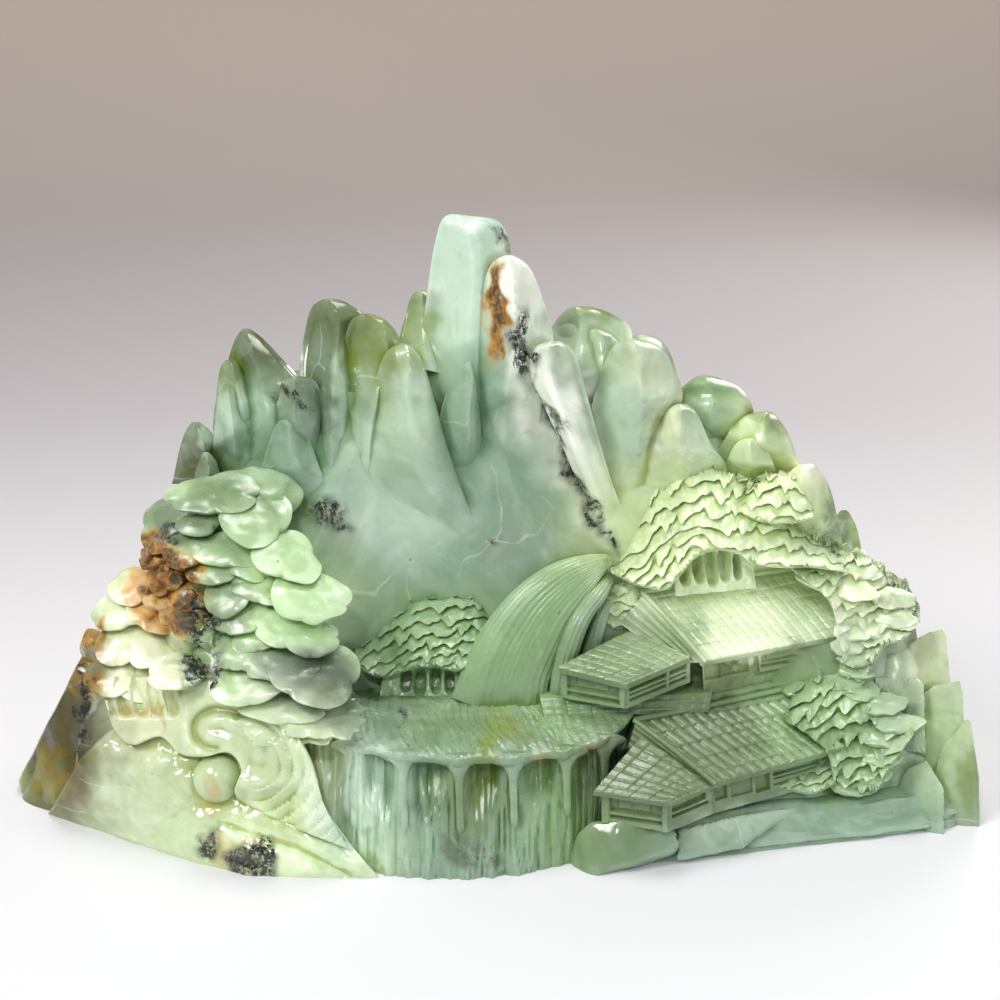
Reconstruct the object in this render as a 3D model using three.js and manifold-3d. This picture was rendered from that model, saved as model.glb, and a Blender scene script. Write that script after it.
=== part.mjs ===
// A jade boulder carved as a mountain landscape: one solid stone, +Z up, millimetres, standing on its flat
// underside with the origin in the middle of it. +X is to the viewer's right and -Y towards the viewer.
// Finger-like peaks ring a hollow valley. A fall curves down the cliff into a pool, which spills over its lip
// as a fluted curtain. Pines in layered pads stand left, middle and right, two tiled halls with corner
// pavilions stand on the right, and scrolling cloud and bare rock fill the left foot.

import * as THREE from "three";
import { ConvexGeometry } from "three/addons/geometries/ConvexGeometry.js";
import { mergeVertices } from "three/addons/utils/BufferGeometryUtils.js";
import Module from "manifold-3d";

// The stone block that everything is carved from
const LENGTH = 498;
const DEPTH = 180;
const HEIGHT = 302;

// The carving is drawn for a block of this size, and its places are shares of the block's own size
const DRAWN_BLOCK = new THREE.Vector3(498, 180, 302);
const CARVING_SCALE = new THREE.Vector3(LENGTH, DEPTH, HEIGHT).divide(DRAWN_BLOCK);

// The design is drawn on a board that stands square to the view, through the middle of the block.
// The eye looks down on it, so a point of the board and a depth in the block give one place.
const VIEW_DROP = THREE.MathUtils.degToRad(20);
const EYE_DISTANCE = 1000;
const BOARD_CENTRE = new THREE.Vector3(4, 5, 161);
const ACROSS = new THREE.Vector3(1, 0, 0);
const LOOK = new THREE.Vector3(0, Math.cos(VIEW_DROP), -Math.sin(VIEW_DROP));
const BOARD_UP = new THREE.Vector3(0, Math.sin(VIEW_DROP), Math.cos(VIEW_DROP));
const EYE = BOARD_CENTRE.clone().addScaledVector(LOOK, -EYE_DISTANCE);

// Facets closer than this to the carved surface are merged
const FACET_TOLERANCE = 1;
const JADE_GREEN = 0xa9c4a0;
const TAU = 2 * Math.PI;

const wasm = await Module();
wasm.setup();

// The place in the block seen at (across, up) on the board, at the given depth.
function seen(across, up, depth) {
  const ray = BOARD_CENTRE.clone().addScaledVector(ACROSS, across).addScaledVector(BOARD_UP, up).sub(EYE);
  return EYE.clone().addScaledVector(ray, (depth - EYE.y) / ray.y);
}

// |x| to a power, with the sign of x kept: the building block of rounded squares and diamonds.
function signedPower(x, power) {
  return Math.sign(x) * Math.abs(x) ** power;
}

// A closed surface through a stack of rings with equal point counts, its two ends closed by fans.
function skin(rings) {
  const count = rings[0].length;
  const points = rings.flat();
  const faces = [];
  for (let ring = 0; ring < rings.length - 1; ring++)
    for (let k = 0; k < count; k++) {
      const a = ring * count + k;
      const b = ring * count + ((k + 1) % count);
      faces.push(a, b, b + count, a, b + count, a + count);
    }
  for (const [ring, turned] of [[0, true], [rings.length - 1, false]]) {
    const middle = points.length;
    points.push(rings[ring].reduce((sum, p) => sum.add(p), new THREE.Vector3()).divideScalar(count));
    for (let k = 0; k < count; k++) {
      const a = ring * count + k;
      const b = ring * count + ((k + 1) % count);
      faces.push(...(turned ? [middle, b, a] : [middle, a, b]));
    }
  }
  return new THREE.BufferGeometry()
    .setAttribute("position", new THREE.Float32BufferAttribute(points.flatMap((p) => p.toArray()), 3))
    .setIndex(faces);
}

// A closed geometry as a solid for cutting and joining, in the real block, with its faces pointing out.
function solid(geometry) {
  const bare = new THREE.BufferGeometry().setAttribute("position", geometry.getAttribute("position").clone());
  bare.setIndex(geometry.index);
  const merged = mergeVertices(bare.scale(...CARVING_SCALE.toArray()), 1e-3);
  const triVerts = new Uint32Array(merged.index.array);
  const vertProperties = merged.attributes.position.array;
  const made = new wasm.Manifold(new wasm.Mesh({ numProp: 3, vertProperties, triVerts }));
  if (made.volume() > 0) return made;
  for (let i = 0; i < triVerts.length; i += 3) {
    [triVerts[i + 1], triVerts[i + 2]] = [triVerts[i + 2], triVerts[i + 1]];
  }
  return new wasm.Manifold(new wasm.Mesh({ numProp: 3, vertProperties, triVerts }));
}

// The convex stone around some points, for rocks, walls and roof slabs.
function hull(points) {
  return solid(new ConvexGeometry(points));
}

// A peak or shard: rings along a line from foot to tip, each a rounded diamond with an edge to the front.
// The half width falls to nothing at the tip as the root of 1 - t^blunt, and widens by flare at the foot.
function peak({ tip, foot, depth, tipDepth = depth, width, thickness, blunt, flare = 0.2, square = 1.45 }) {
  const base = seen(...foot, depth);
  const top = seen(...tip, tipDepth);
  const axis = top.clone().sub(base);
  const side = ACROSS.clone().addScaledVector(axis, -axis.x / axis.lengthSq()).normalize();
  const out = axis.clone().normalize().cross(side);
  const sides = 8;
  const rings = [0, 0.5, 0.82, 0.96].map((t) => {
    const reach = Math.sqrt(1 - t ** blunt) * (1 + flare * (1 - t));
    return Array.from({ length: sides }, (_, k) => {
      const angle = (TAU * k) / sides;
      const x = signedPower(Math.cos(angle), 2 / square) * reach * (width / 2);
      const y = signedPower(Math.sin(angle), 2 / square) * reach * (thickness / 2);
      return base.clone().addScaledVector(axis, t).addScaledVector(side, x).addScaledVector(out, y);
    });
  });
  rings.push(rings[0].map(() => top.clone()));
  return solid(skin(rings));
}

// A foliage pad: a shallow dome with a thin rim, its underside running back to a root in the stone.
// tilt drops it towards the viewer and roll drops its right side. Waves ruffle its rim, scallop its outline.
function pad({ at, radius, tilt = 34, roll = 0, rise = 4, root = 26, waves = 0, wave = 0, scallop = 0 }) {
  const centre = seen(...at);
  const frame = new THREE.Matrix4()
    .makeRotationY(THREE.MathUtils.degToRad(roll))
    .premultiply(new THREE.Matrix4().makeRotationX(THREE.MathUtils.degToRad(tilt)));
  const sides = waves ? 2 * waves : 9;
  const ring = (share, height, ruffle) =>
    Array.from({ length: sides }, (_, k) => {
      const angle = (TAU * (k + 0.5)) / sides;
      const ripple = Math.sin(angle * waves);
      const reach = share * (1 + scallop * ripple * ruffle);
      return new THREE.Vector3(
        radius[0] * reach * Math.cos(angle),
        radius[1] * reach * Math.sin(angle),
        height + wave * ripple * ruffle
      ).applyMatrix4(frame).add(centre);
    });
  const rooted = centre.clone().add(new THREE.Vector3(0, root, -root * 0.4));
  const rim = ring(1, -1.5, 1);
  const crown = waves ? ring(0, rise, 0) : ring(0.55, rise * 0.72, 0);
  return solid(skin([crown, rim, rim.map(() => rooted.clone())]));
}

// A rounded lump of stone about a point, as a squared ball with the given half sizes.
function lump({ at, radius, square = 2.4 }) {
  const centre = seen(...at);
  const sides = 8;
  const rings = [-0.94, -0.5, 0.1, 0.6, 0.94].map((level) => {
    const rim = (1 - Math.abs(level) ** square) ** (1 / square);
    return Array.from({ length: sides }, (_, k) => {
      const angle = (TAU * k) / sides;
      const x = signedPower(Math.cos(angle), 2 / square) * rim;
      const y = signedPower(Math.sin(angle), 2 / square) * rim;
      return new THREE.Vector3(radius[0] * x, radius[1] * y, radius[2] * level).add(centre);
    });
  });
  return solid(skin(rings));
}

// A ribbon or stem: oval sections along a smooth line through places on the board, facing the viewer.
// Its widths are given at the places, and it is as thick as the given share of its width.
function band({ path, widths, flat = 1, sides = 6, steps = path.length + 1 }) {
  const line = new THREE.CatmullRomCurve3(path.map((place) => seen(...place)));
  const rings = Array.from({ length: steps + 1 }, (_, k) => {
    const t = k / steps;
    const place = t * (widths.length - 1);
    const low = Math.min(Math.floor(place), widths.length - 2);
    const width = THREE.MathUtils.lerp(widths[low], widths[low + 1], place - low);
    const side = line.getTangent(t).cross(LOOK).normalize();
    const out = side.clone().cross(line.getTangent(t));
    return Array.from({ length: sides }, (_, j) => {
      const angle = (TAU * j) / sides;
      return line.getPoint(t)
        .addScaledVector(side, (Math.cos(angle) * width) / 2)
        .addScaledVector(out, (Math.sin(angle) * width * flat) / 2);
    });
  });
  return solid(skin(rings));
}

// Plan ovals at rising heights as one solid. Each level gives its middle, its half sizes and its flutes.
function drum(levels, sides = 44) {
  return solid(skin(levels.map(({ height, middle, half, flute = 0 }) =>
    Array.from({ length: sides }, (_, k) => {
      const angle = (TAU * k) / sides;
      const reach = 1 - ((k + 1) % 2) * flute;
      return new THREE.Vector3(
        middle[0] + half[0] * reach * Math.cos(angle), middle[1] + half[1] * reach * Math.sin(angle), height
      );
    })
  )));
}

// Board places with their depths, and the same places moved back or down, as corners for a hull.
function slab(corners, { back = 0, drop = 0 }) {
  const near = corners.map((place) => seen(...place));
  const far = near.map((point) => point.clone().add(new THREE.Vector3(0, back, -drop)));
  return hull([...near, ...far]);
}

// The uncarved mass: plan outlines at rising levels, each a rounded oval that is squarer at the back.
// Its front stands further forward on the left, under the pine, than on the right, behind the halls.
function mass() {
  const levels = [
    { height: 0, left: -247, right: 249, frontLeft: -50, frontRight: -64, back: 90, middle: -4 },
    { height: 45, left: -222, right: 236, frontLeft: -48, frontRight: -34, back: 86, middle: 2 },
    { height: 80, left: -198, right: 216, frontLeft: -40, frontRight: -8, back: 80, middle: 10 },
    { height: 120, left: -174, right: 184, frontLeft: -28, frontRight: 8, back: 76, middle: 20 },
    { height: 160, left: -150, right: 148, frontLeft: -4, frontRight: 14, back: 70, middle: 28 },
    { height: 190, left: -124, right: 112, frontLeft: 18, frontRight: 18, back: 66, middle: 34 },
    { height: 214, left: -84, right: 66, frontLeft: 32, frontRight: 22, back: 60, middle: 40 },
  ];
  const sides = 28;
  const rings = levels.map(({ height, left, right, frontLeft, frontRight, back, middle }) =>
    Array.from({ length: sides }, (_, k) => {
      const angle = (TAU * k) / sides;
      const square = Math.sin(angle) > 0 ? 2.8 : 2;
      const x = signedPower(Math.cos(angle), 2 / square);
      const y = signedPower(Math.sin(angle), 2 / square);
      const front = THREE.MathUtils.lerp(frontLeft, frontRight, THREE.MathUtils.smoothstep(x, -0.3, 0.5));
      return new THREE.Vector3(
        (left + right) / 2 + (x * (right - left)) / 2,
        middle + y * (y > 0 ? back - middle : middle - front),
        height
      );
    })
  );
  return solid(skin(rings));
}

// The valley in front of the cliff, to cut away: plan ovals that widen upwards from the pool.
function valley() {
  return drum([
    { height: 62, middle: [-26, -68], half: [84, 56] },
    { height: 76, middle: [-28, -68], half: [96, 66] },
    { height: 110, middle: [-28, -68], half: [100, 74] },
    { height: 160, middle: [-26, -68], half: [102, 80] },
    { height: 210, middle: [-24, -68], half: [100, 86] },
    { height: 320, middle: [-24, -68], half: [112, 96] },
  ], 24);
}

const forms = [mass().subtract(valley())];

// Peaks from left to right. Tips and feet are places on the board, with depths in the block.
const PEAKS = [
  { tip: [-151, 39], foot: [-149, 0], depth: 26, tipDepth: 22, width: 21, thickness: 24, blunt: 2 },
  { tip: [-136, 57], foot: [-130, 0], depth: 26, tipDepth: 20, width: 18, thickness: 22, blunt: 2.6 },
  { tip: [-137, 72], foot: [-127, 10], depth: 32, width: 19, thickness: 24, blunt: 2.4 },
  { tip: [-127, 86], foot: [-118, 4], depth: 38, width: 43, thickness: 34, blunt: 1.6 },
  { tip: [-107, 40], foot: [-100, -8], depth: 20, tipDepth: 10, width: 29, thickness: 26, blunt: 2.6 },
  { tip: [-100, 63], foot: [-96, 0], depth: 26, tipDepth: 20, width: 25, thickness: 28, blunt: 3 },
  { tip: [-90, 54], foot: [-83, 2], depth: 22, tipDepth: 14, width: 22, thickness: 22, blunt: 2.4 },
  { tip: [-84, 102], foot: [-84, 12], depth: 38, width: 28, thickness: 30, blunt: 3 },
  { tip: [-65, 94], foot: [-67, 4], depth: 30, tipDepth: 26, width: 31, thickness: 30, blunt: 3 },
  { tip: [-49, 78], foot: [-38, -36], depth: 30, tipDepth: 12, width: 33, thickness: 28, blunt: 5, flare: 0.5 },
  { tip: [-40, 106], foot: [-38, 40], depth: 44, width: 16, thickness: 18, blunt: 4 },
  { tip: [-15, 146], foot: [-18, 20], depth: 36, tipDepth: 32, width: 37, thickness: 34, blunt: 26, flare: 0.35 },
  { tip: [-17, 70], foot: [-14, -10], depth: 26, tipDepth: 16, width: 20, thickness: 22, blunt: 5, flare: 0.4 },
  { tip: [5, 122], foot: [7, 20], depth: 30, tipDepth: 22, width: 34, thickness: 30, blunt: 2.6, flare: 0.1 },
  { tip: [-1, 74], foot: [0, -10], depth: 26, tipDepth: 13, width: 21, thickness: 22, blunt: 5, flare: 0.4 },
  { tip: [17, 78], foot: [20, -10], depth: 26, tipDepth: 13, width: 17, thickness: 20, blunt: 5, flare: 0.5 },
  { tip: [27, 79], foot: [58, -26], depth: 14, tipDepth: 12, width: 27, thickness: 28, blunt: 6, flare: 0.1 },
  { tip: [41, 97], foot: [44, 10], depth: 46, width: 38, thickness: 30, blunt: 3.4 },
  { tip: [49, 79], foot: [50, 48], depth: 38, tipDepth: 36, width: 14, thickness: 14, blunt: 3 },
  { tip: [67, 81], foot: [70, -20], depth: 22, tipDepth: 22, width: 38, thickness: 34, blunt: 3.4 },
  { tip: [92, 48], foot: [91, -24], depth: 14, tipDepth: 12, width: 31, thickness: 30, blunt: 3 },
  { tip: [104, 62], foot: [106, 0], depth: 40, width: 34, thickness: 34, blunt: 4 },
  { tip: [129, 44], foot: [128, -16], depth: 30, width: 31, thickness: 30, blunt: 3 },
  { tip: [124, 32], foot: [120, -10], depth: 20, width: 18, thickness: 20, blunt: 4 },
  { tip: [154, 18], foot: [157, -44], depth: 20, tipDepth: 20, width: 24, thickness: 26, blunt: 5 },
  { tip: [166, 6], foot: [167, -44], depth: 42, width: 12, thickness: 20, blunt: 5 },
  { tip: [173, -5], foot: [174, -50], depth: 40, width: 13, thickness: 22, blunt: 6 },
  { tip: [195, -36], foot: [193, -80], depth: 32, width: 24, thickness: 26, blunt: 5 },
];
forms.push(...PEAKS.map(peak));

// Bare shards at the right end, and long soft ridges down the plain back
const SHARDS = [
  { tip: [221, -64], foot: [213, -104], depth: 10, width: 28, thickness: 30, blunt: 1.6 },
  { tip: [200, -90], foot: [200, -142], depth: -8, width: 28, thickness: 26, blunt: 7 },
  { tip: [229, -91], foot: [218, -144], depth: -8, width: 22, thickness: 28, blunt: 2.2, flare: 0.6 },
  { tip: [234, -111], foot: [224, -158], depth: -20, width: 22, thickness: 26, blunt: 2, flare: 0.7 },
];
const BACK_RIDGES = [
  { tip: [-120, 50], foot: [-166, -124], depth: 82, tipDepth: 52, width: 60, thickness: 34, blunt: 4 },
  { tip: [-60, 76], foot: [-90, -124], depth: 84, tipDepth: 48, width: 66, thickness: 36, blunt: 4 },
  { tip: [-4, 106], foot: [-8, -124], depth: 84, tipDepth: 46, width: 60, thickness: 36, blunt: 5 },
  { tip: [56, 76], foot: [80, -124], depth: 84, tipDepth: 50, width: 66, thickness: 36, blunt: 4 },
  { tip: [116, 46], foot: [152, -124], depth: 82, tipDepth: 50, width: 58, thickness: 34, blunt: 4 },
];
forms.push(...SHARDS.map((shard) => peak({ square: 1.1, ...shard })), ...BACK_RIDGES.map(peak));

// The cut slab at the left end, the rock at the left foot and the rock under the halls, by their corners
const LEFT_SLAB = [
  [-241, -139, -2], [-238, -151, -6], [-224, -153, -24], [-196, -132, -36], [-192, -100, -20],
  [-202, -92, 0], [-212, -83, 4], [-204, -68, 16], [-190, -80, 6], [-190, -130, 30], [-241, -139, 26],
];
const FOOT_ROCK = [
  [-222, -158, -30], [-160, -179, -70], [-125, -189, -86], [-60, -190, -88], [-72, -180, -86],
  [-92, -166, -78], [-130, -150, -70], [-150, -128, -58], [-175, -122, -46], [-205, -134, -30], [-215, -146, -28],
];
const BASE_ROCK = [
  [36, -184, -78], [50, -188, -86], [72, -184, -82], [135, -172, -60], [215, -164, -44], [232, -154, -34],
  [38, -163, -76], [60, -162, -72], [130, -150, -50], [200, -142, -30], [226, -146, -30],
];
const ROCKS = [LEFT_SLAB, FOOT_ROCK, BASE_ROCK];
forms.push(...ROCKS.map((corners) => hull(corners.map((place) => seen(...place)))));

// The terrace that the upper hall stands on
const TERRACE = [
  [20, -100, -40], [62, -106, -46], [100, -100, -30], [182, -84, 4], [180, -72, 20], [60, -84, 0],
];
forms.push(slab(TERRACE, { drop: 22 }));

// The left pine: broad smooth pads like scales, falling forward from the peaks to the cloud
const LEFT_PINE_HEART = [
  { at: [-133, -24, 0], radius: [26, 20, 24] },
  { at: [-112, -62, -12], radius: [24, 24, 32] },
  { at: [-160, -36, -4], radius: [17, 20, 18] },
  { at: [-104, -98, -26], radius: [28, 28, 24] },
  { at: [-170, -70, 4], radius: [26, 22, 32] },
];
const LEFT_PINE = [
  { at: [-142, 2, -26], radius: [24, 20], roll: -6 },
  { at: [-124, -9, -32], radius: [22, 21], roll: 12 },
  { at: [-166, -11, -12], radius: [17, 15], roll: -16, tilt: 50, root: 44 },
  { at: [-139, -24, -38], radius: [21, 18], roll: 6 },
  { at: [-106, -27, -34], radius: [17, 20], roll: 16, tilt: 50 },
  { at: [-119, -42, -44], radius: [20, 15], roll: -8 },
  { at: [-100, -48, -46], radius: [23, 22], roll: 10, tilt: 42 },
  { at: [-106, -64, -54], radius: [20, 16] },
  { at: [-93, -71, -50], radius: [15, 13], roll: -14 },
  { at: [-122, -72, -54], radius: [16, 13] },
  { at: [-94, -85, -60], radius: [24, 24], roll: 10, tilt: 42 },
  { at: [-122, -92, -60], radius: [23, 17], roll: 6 },
  { at: [-102, -102, -64], radius: [27, 17], waves: 6, wave: 1.4, scallop: 0.05 },
  { at: [-106, -111, -60], radius: [32, 20], waves: 6, wave: 2, scallop: 0.06, roll: 6 },
  { at: [-181, -44, -14], radius: [12, 11] },
  { at: [-189, -57, -20], radius: [15, 14], roll: -6 },
  { at: [-188, -72, -26], radius: [15, 14], roll: 6 },
  { at: [-174, -71, -32], radius: [15, 13] },
  { at: [-195, -87, -24], radius: [15, 13], roll: -14 },
  { at: [-176, -88, -36], radius: [18, 15] },
  { at: [-174, -104, -42], radius: [24, 16], waves: 6, wave: 1.6, scallop: 0.06 },
];
const RUSTY_KNOBS = [
  { at: [-171, -32, -14], radius: [9, 8, 7] },
  { at: [-163, -42, -24], radius: [9, 8, 7] },
  { at: [-154, -50, -34], radius: [9, 8, 7] },
  { at: [-151, -66, -42], radius: [9, 8, 8] },
  { at: [-141, -74, -48], radius: [8, 7, 7] },
];
forms.push(...[...LEFT_PINE_HEART, ...RUSTY_KNOBS].map(lump), ...LEFT_PINE.map(pad));

// Scrolling cloud below the left pine: a swelling dome, a curl, the rolled edge and a round boss
const CLOUD_BANK = [
  [-196, -106, -40], [-186, -122, -48], [-161, -125, -58], [-139, -125, -66],
  [-120, -112, -64], [-136, -92, -56], [-190, -94, -36],
];
forms.push(slab(CLOUD_BANK, { back: 34 }));
forms.push(lump({ at: [-112, -138, -54], radius: [36, 30, 34], square: 2.2 }));
forms.push(lump({ at: [-140, -139, -68], radius: [12, 12, 12], square: 2 }));
const CLOUD_ROLLS = [
  {
    path: [[-196, -108, -42], [-186, -123, -50], [-170, -119, -56], [-155, -127, -63], [-139, -126, -70]],
    widths: [5, 7, 7, 7, 6],
  },
  {
    path: [[-144, -98, -60], [-128, -104, -68], [-106, -112, -72], [-93, -132, -76], [-90, -154, -78]],
    widths: [6, 8, 8, 7, 5],
  },
  { path: [[-150, -112, -62], [-141, -118, -69], [-133, -110, -70], [-140, -101, -66]], widths: [6, 7, 7, 5] },
];
forms.push(...CLOUD_ROLLS.map(band));

// The pool, its spilling curtain and the drips that join the lip to it
forms.push(drum([
  { height: 0, middle: [-20, -35], half: [84, 55], flute: 0.025 },
  { height: 30, middle: [-20, -35], half: [84, 49], flute: 0.03 },
  { height: 54, middle: [-18, -35], half: [80, 36], flute: 0.03 },
]));
forms.push(drum([
  { height: 54, middle: [-10, -28], half: [76, 40] },
  { height: 59, middle: [-10, -28], half: [82, 51] },
  { height: 63, middle: [-10, -26], half: [82, 50] },
  { height: 66, middle: [-10, -10], half: [76, 26] },
], 28));
const DRIPS = [-75, -47, -17, 9, 36, 54];
forms.push(...DRIPS.map((across) => {
  const bend = (across + 6) ** 2;
  const up = -128.5 + bend * 0.0042;
  const depth = -78 + bend * 0.0058;
  const path = [[across, up, depth], [across, up - 12, depth], [across, up - 32, depth - 6]];
  return band({ path, widths: [9, 4.5, 4] });
}));

// The fall, as one broad ribbon with a thin one beside it
const FALLS = [
  {
    path: [[53, -33, -2], [36, -44, -10], [22, -60, -16], [10, -80, -22], [2, -100, -26]],
    widths: [10, 24, 36, 46, 54],
    flat: 0.5,
    sides: 10,
  },
  { path: [[54, -38, -4], [46, -54, -12], [38, -74, -20], [34, -98, -24]], widths: [8, 11, 12, 12] },
];
forms.push(...FALLS.map(band));

// The ruffled pines: the small one by the pool, the large one above the halls and two at the right end
const RUFFLED_HEARTS = [
  { at: [-36, -76, 2], radius: [24, 18, 18] },
  { at: [92, -16, 14], radius: [34, 16, 26] },
  { at: [132, -18, 20], radius: [30, 16, 26] },
  { at: [180, -64, 20], radius: [20, 20, 26] },
  { at: [174, -112, -6], radius: [22, 22, 20] },
];
const RUFFLED_PADS = [
  { at: [-22, -52, 0], radius: [16, 11], waves: 6, wave: 1.2 },
  { at: [-35, -57, -2], radius: [18, 12], waves: 6, wave: 1.2 },
  { at: [-42, -63, -6], radius: [21, 12], waves: 6, wave: 1.5, roll: -6 },
  { at: [-18, -62, -6], radius: [15, 11], waves: 6, wave: 1.4, roll: 8 },
  { at: [-38, -70, -10], radius: [27, 13], waves: 6, wave: 1.8 },
  { at: [-36, -80, -14], radius: [27, 13], waves: 6, wave: 2 },
  { at: [95, 8, 8], radius: [19, 11], roll: -22, waves: 6, wave: 1.5 },
  { at: [98, -1, 4], radius: [25, 12], roll: -14, waves: 6, wave: 1.7 },
  { at: [128, -1, 12], radius: [25, 13], roll: 4, waves: 6, wave: 1.5 },
  { at: [84, -11, 0], radius: [26, 13], roll: -10, waves: 6, wave: 2 },
  { at: [132, -12, 8], radius: [33, 14], roll: -4, waves: 6, wave: 2 },
  { at: [78, -22, -4], radius: [26, 13], roll: -12, waves: 6, wave: 2.2 },
  { at: [124, -22, 4], radius: [30, 14], waves: 6, wave: 2.4 },
  { at: [58, -52, -4], radius: [13, 9], waves: 5, wave: 1.6 },
  { at: [72, -33, -8], radius: [22, 12], roll: -8, waves: 6, wave: 2 },
  { at: [146, -30, 6], radius: [22, 12], roll: 6, waves: 6, wave: 1.8 },
  { at: [150, -38, 2], radius: [18, 11], waves: 6, wave: 1.6 },
  { at: [170, -34, 6], radius: [14, 9], roll: 10, waves: 5, wave: 2.4, scallop: 0.14 },
  { at: [184, -44, 4], radius: [20, 11], roll: 14, waves: 6, wave: 2.6, scallop: 0.16 },
  { at: [182, -56, 0], radius: [21, 12], roll: 12, waves: 6, wave: 2.6, scallop: 0.16 },
  { at: [184, -68, -4], radius: [20, 12], roll: 10, waves: 6, wave: 2.6, scallop: 0.16 },
  { at: [176, -80, -8], radius: [15, 10], roll: 6, waves: 5, wave: 2.4, scallop: 0.16 },
  { at: [170, -96, -18], radius: [20, 11], roll: 8, waves: 6, wave: 2.4, scallop: 0.16 },
  { at: [178, -108, -24], radius: [24, 13], roll: 12, waves: 6, wave: 2.6, scallop: 0.16 },
  { at: [174, -120, -30], radius: [21, 12], roll: 10, waves: 6, wave: 2.6, scallop: 0.16 },
  { at: [176, -132, -34], radius: [13, 9], roll: 8, waves: 5, wave: 2.4, scallop: 0.16 },
];
forms.push(...RUFFLED_HEARTS.map(lump), ...RUFFLED_PADS.map((ruffle) => pad({ tilt: 25, ...ruffle })));

// Two halls, each a wall under a tiled roof, with a pavilion standing forward at its left corner
const HALLS = [
  {
    roof: [[72, -46, 0], [152, -35, 30], [178, -66, 5], [102, -80, -30]],
    wall: [[102, -78, -22], [174, -66, 10], [174, -84, 10], [100, -98, -22]],
    eaves: [[30, -83, -42], [63, -91, -48], [96, -78, -30], [37, -76, -30], [70, -66, -12]],
    room: [
      [36, -80, -38], [62, -87, -43], [94, -76, -26], [34, -99, -38], [62, -104, -43], [94, -96, -26],
    ],
  },
  {
    roof: [[68, -111, -40], [138, -96, -12], [171, -123, -38], [106, -141, -68]],
    wall: [[106, -140, -62], [168, -124, -32], [168, -140, -32], [106, -156, -62]],
    eaves: [[48, -146, -78], [84, -151, -82], [109, -142, -66], [54, -138, -70], [74, -118, -50]],
    room: [
      [52, -143, -74], [82, -148, -78], [104, -139, -64], [51, -162, -75], [82, -164, -79], [104, -158, -64],
    ],
  },
];
const ROOF_THICKNESS = 4;
for (const hall of HALLS) {
  forms.push(slab(hall.roof, { drop: ROOF_THICKNESS }), slab(hall.wall, { back: 36 }));
  forms.push(slab(hall.eaves, { drop: ROOF_THICKNESS }), slab(hall.room, { back: 22 }));
  const loft = hall.roof.map(([across, up, depth]) => [across * 0.97 + 3, up - 5, depth]);
  forms.push(slab(loft, { drop: 14 }));
}

const block = solid(new THREE.BoxGeometry(...DRAWN_BLOCK.toArray()).translate(0, 0, DRAWN_BLOCK.z / 2));
const pieces = wasm.Manifold.union(forms).intersect(block).simplify(FACET_TOLERANCE).decompose();
// Pockets sealed inside the stone come out as pieces of negative volume, and are left solid
const carving = wasm.Manifold.union(pieces.filter((piece) => piece.volume() > 0));
const { numProp, vertProperties, triVerts } = carving.getMesh();
const geometry = new THREE.BufferGeometry()
  .setAttribute("position", new THREE.BufferAttribute(vertProperties, numProp))
  .setIndex(new THREE.BufferAttribute(triVerts, 1));
geometry.computeVertexNormals();
const jade = new THREE.MeshStandardMaterial({ color: JADE_GREEN, roughness: 0.2, metalness: 0 });
const mountain = new THREE.Mesh(geometry, jade);
mountain.name = "jade_mountain";
const model = new THREE.Group();
model.add(mountain);

export default model;
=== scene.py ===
"""A jade boulder carved as a mountain landscape: peaks, pines, halls, a fall and cloud in one stone.

Every form is worked out in millimetres, in the frame of the block: +X to the viewer's right, -Y towards the
viewer, +Z up, with the origin in the middle of the underside. Forms are closed surfaces over two parameters,
worked out as whole arrays. The forms of one sub-assembly are joined into one closed mesh, cut to the block.
"""

import logging
import math
from collections.abc import Callable, Sequence
from dataclasses import astuple, dataclass
from enum import Enum

import bmesh
import bpy
import numpy as np
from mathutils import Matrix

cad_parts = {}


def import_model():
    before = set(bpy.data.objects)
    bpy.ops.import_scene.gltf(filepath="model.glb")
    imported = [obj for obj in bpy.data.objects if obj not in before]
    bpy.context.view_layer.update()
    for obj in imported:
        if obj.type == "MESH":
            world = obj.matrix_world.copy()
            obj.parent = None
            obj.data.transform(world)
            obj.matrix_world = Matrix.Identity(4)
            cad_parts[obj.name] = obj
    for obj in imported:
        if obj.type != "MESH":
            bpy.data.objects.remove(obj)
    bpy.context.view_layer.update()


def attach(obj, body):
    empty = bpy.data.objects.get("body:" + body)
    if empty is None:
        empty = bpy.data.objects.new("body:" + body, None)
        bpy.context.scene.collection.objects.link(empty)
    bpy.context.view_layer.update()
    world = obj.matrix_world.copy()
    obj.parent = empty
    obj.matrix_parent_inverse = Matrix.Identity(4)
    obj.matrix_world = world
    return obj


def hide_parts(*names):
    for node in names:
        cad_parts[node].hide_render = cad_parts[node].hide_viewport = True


logging.basicConfig(level=logging.INFO, format="%(message)s")
LOG = logging.getLogger("jade")

Array = np.ndarray
Rows = Sequence[Sequence[float]]
Relief = Callable[[Array, Array], Array]
Colour = tuple[float, float, float]
Place = tuple[float, float, float]
Spot = tuple[float, float]
Heart = tuple[Place, Place]
Socket = bpy.types.NodeSocket

TAU = 2 * math.pi
METRES = 0.001
NODE = "jade_mountain"

# The block, lowest and highest corner
BLOCK_LOW = (-249.0, -90.0, 0.0)
BLOCK_HIGH = (249.0, 90.0, 302.0)

# Edges that turn by more than this stay crisp
CRISP_ANGLE = math.radians(34)

# The way back into the stone behind an upright face, and behind one that leans
BACK = (0, 1, 0)
BACK_AND_DOWN = (0, 1, -0.2)

# How soft the borders of the zones of colour and of the stains are, as a share of their size
TINT_SOFTNESS = 0.6
STAIN_SOFTNESS = 0.5


def ease(x: Array | float) -> Array | float:
    """Goes from 0 to 1 as x does, level at both ends: 3x^2 - 2x^3 of x held between 0 and 1."""
    held = np.clip(x, 0.0, 1.0)
    return held * held * (3 - 2 * held)


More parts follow.
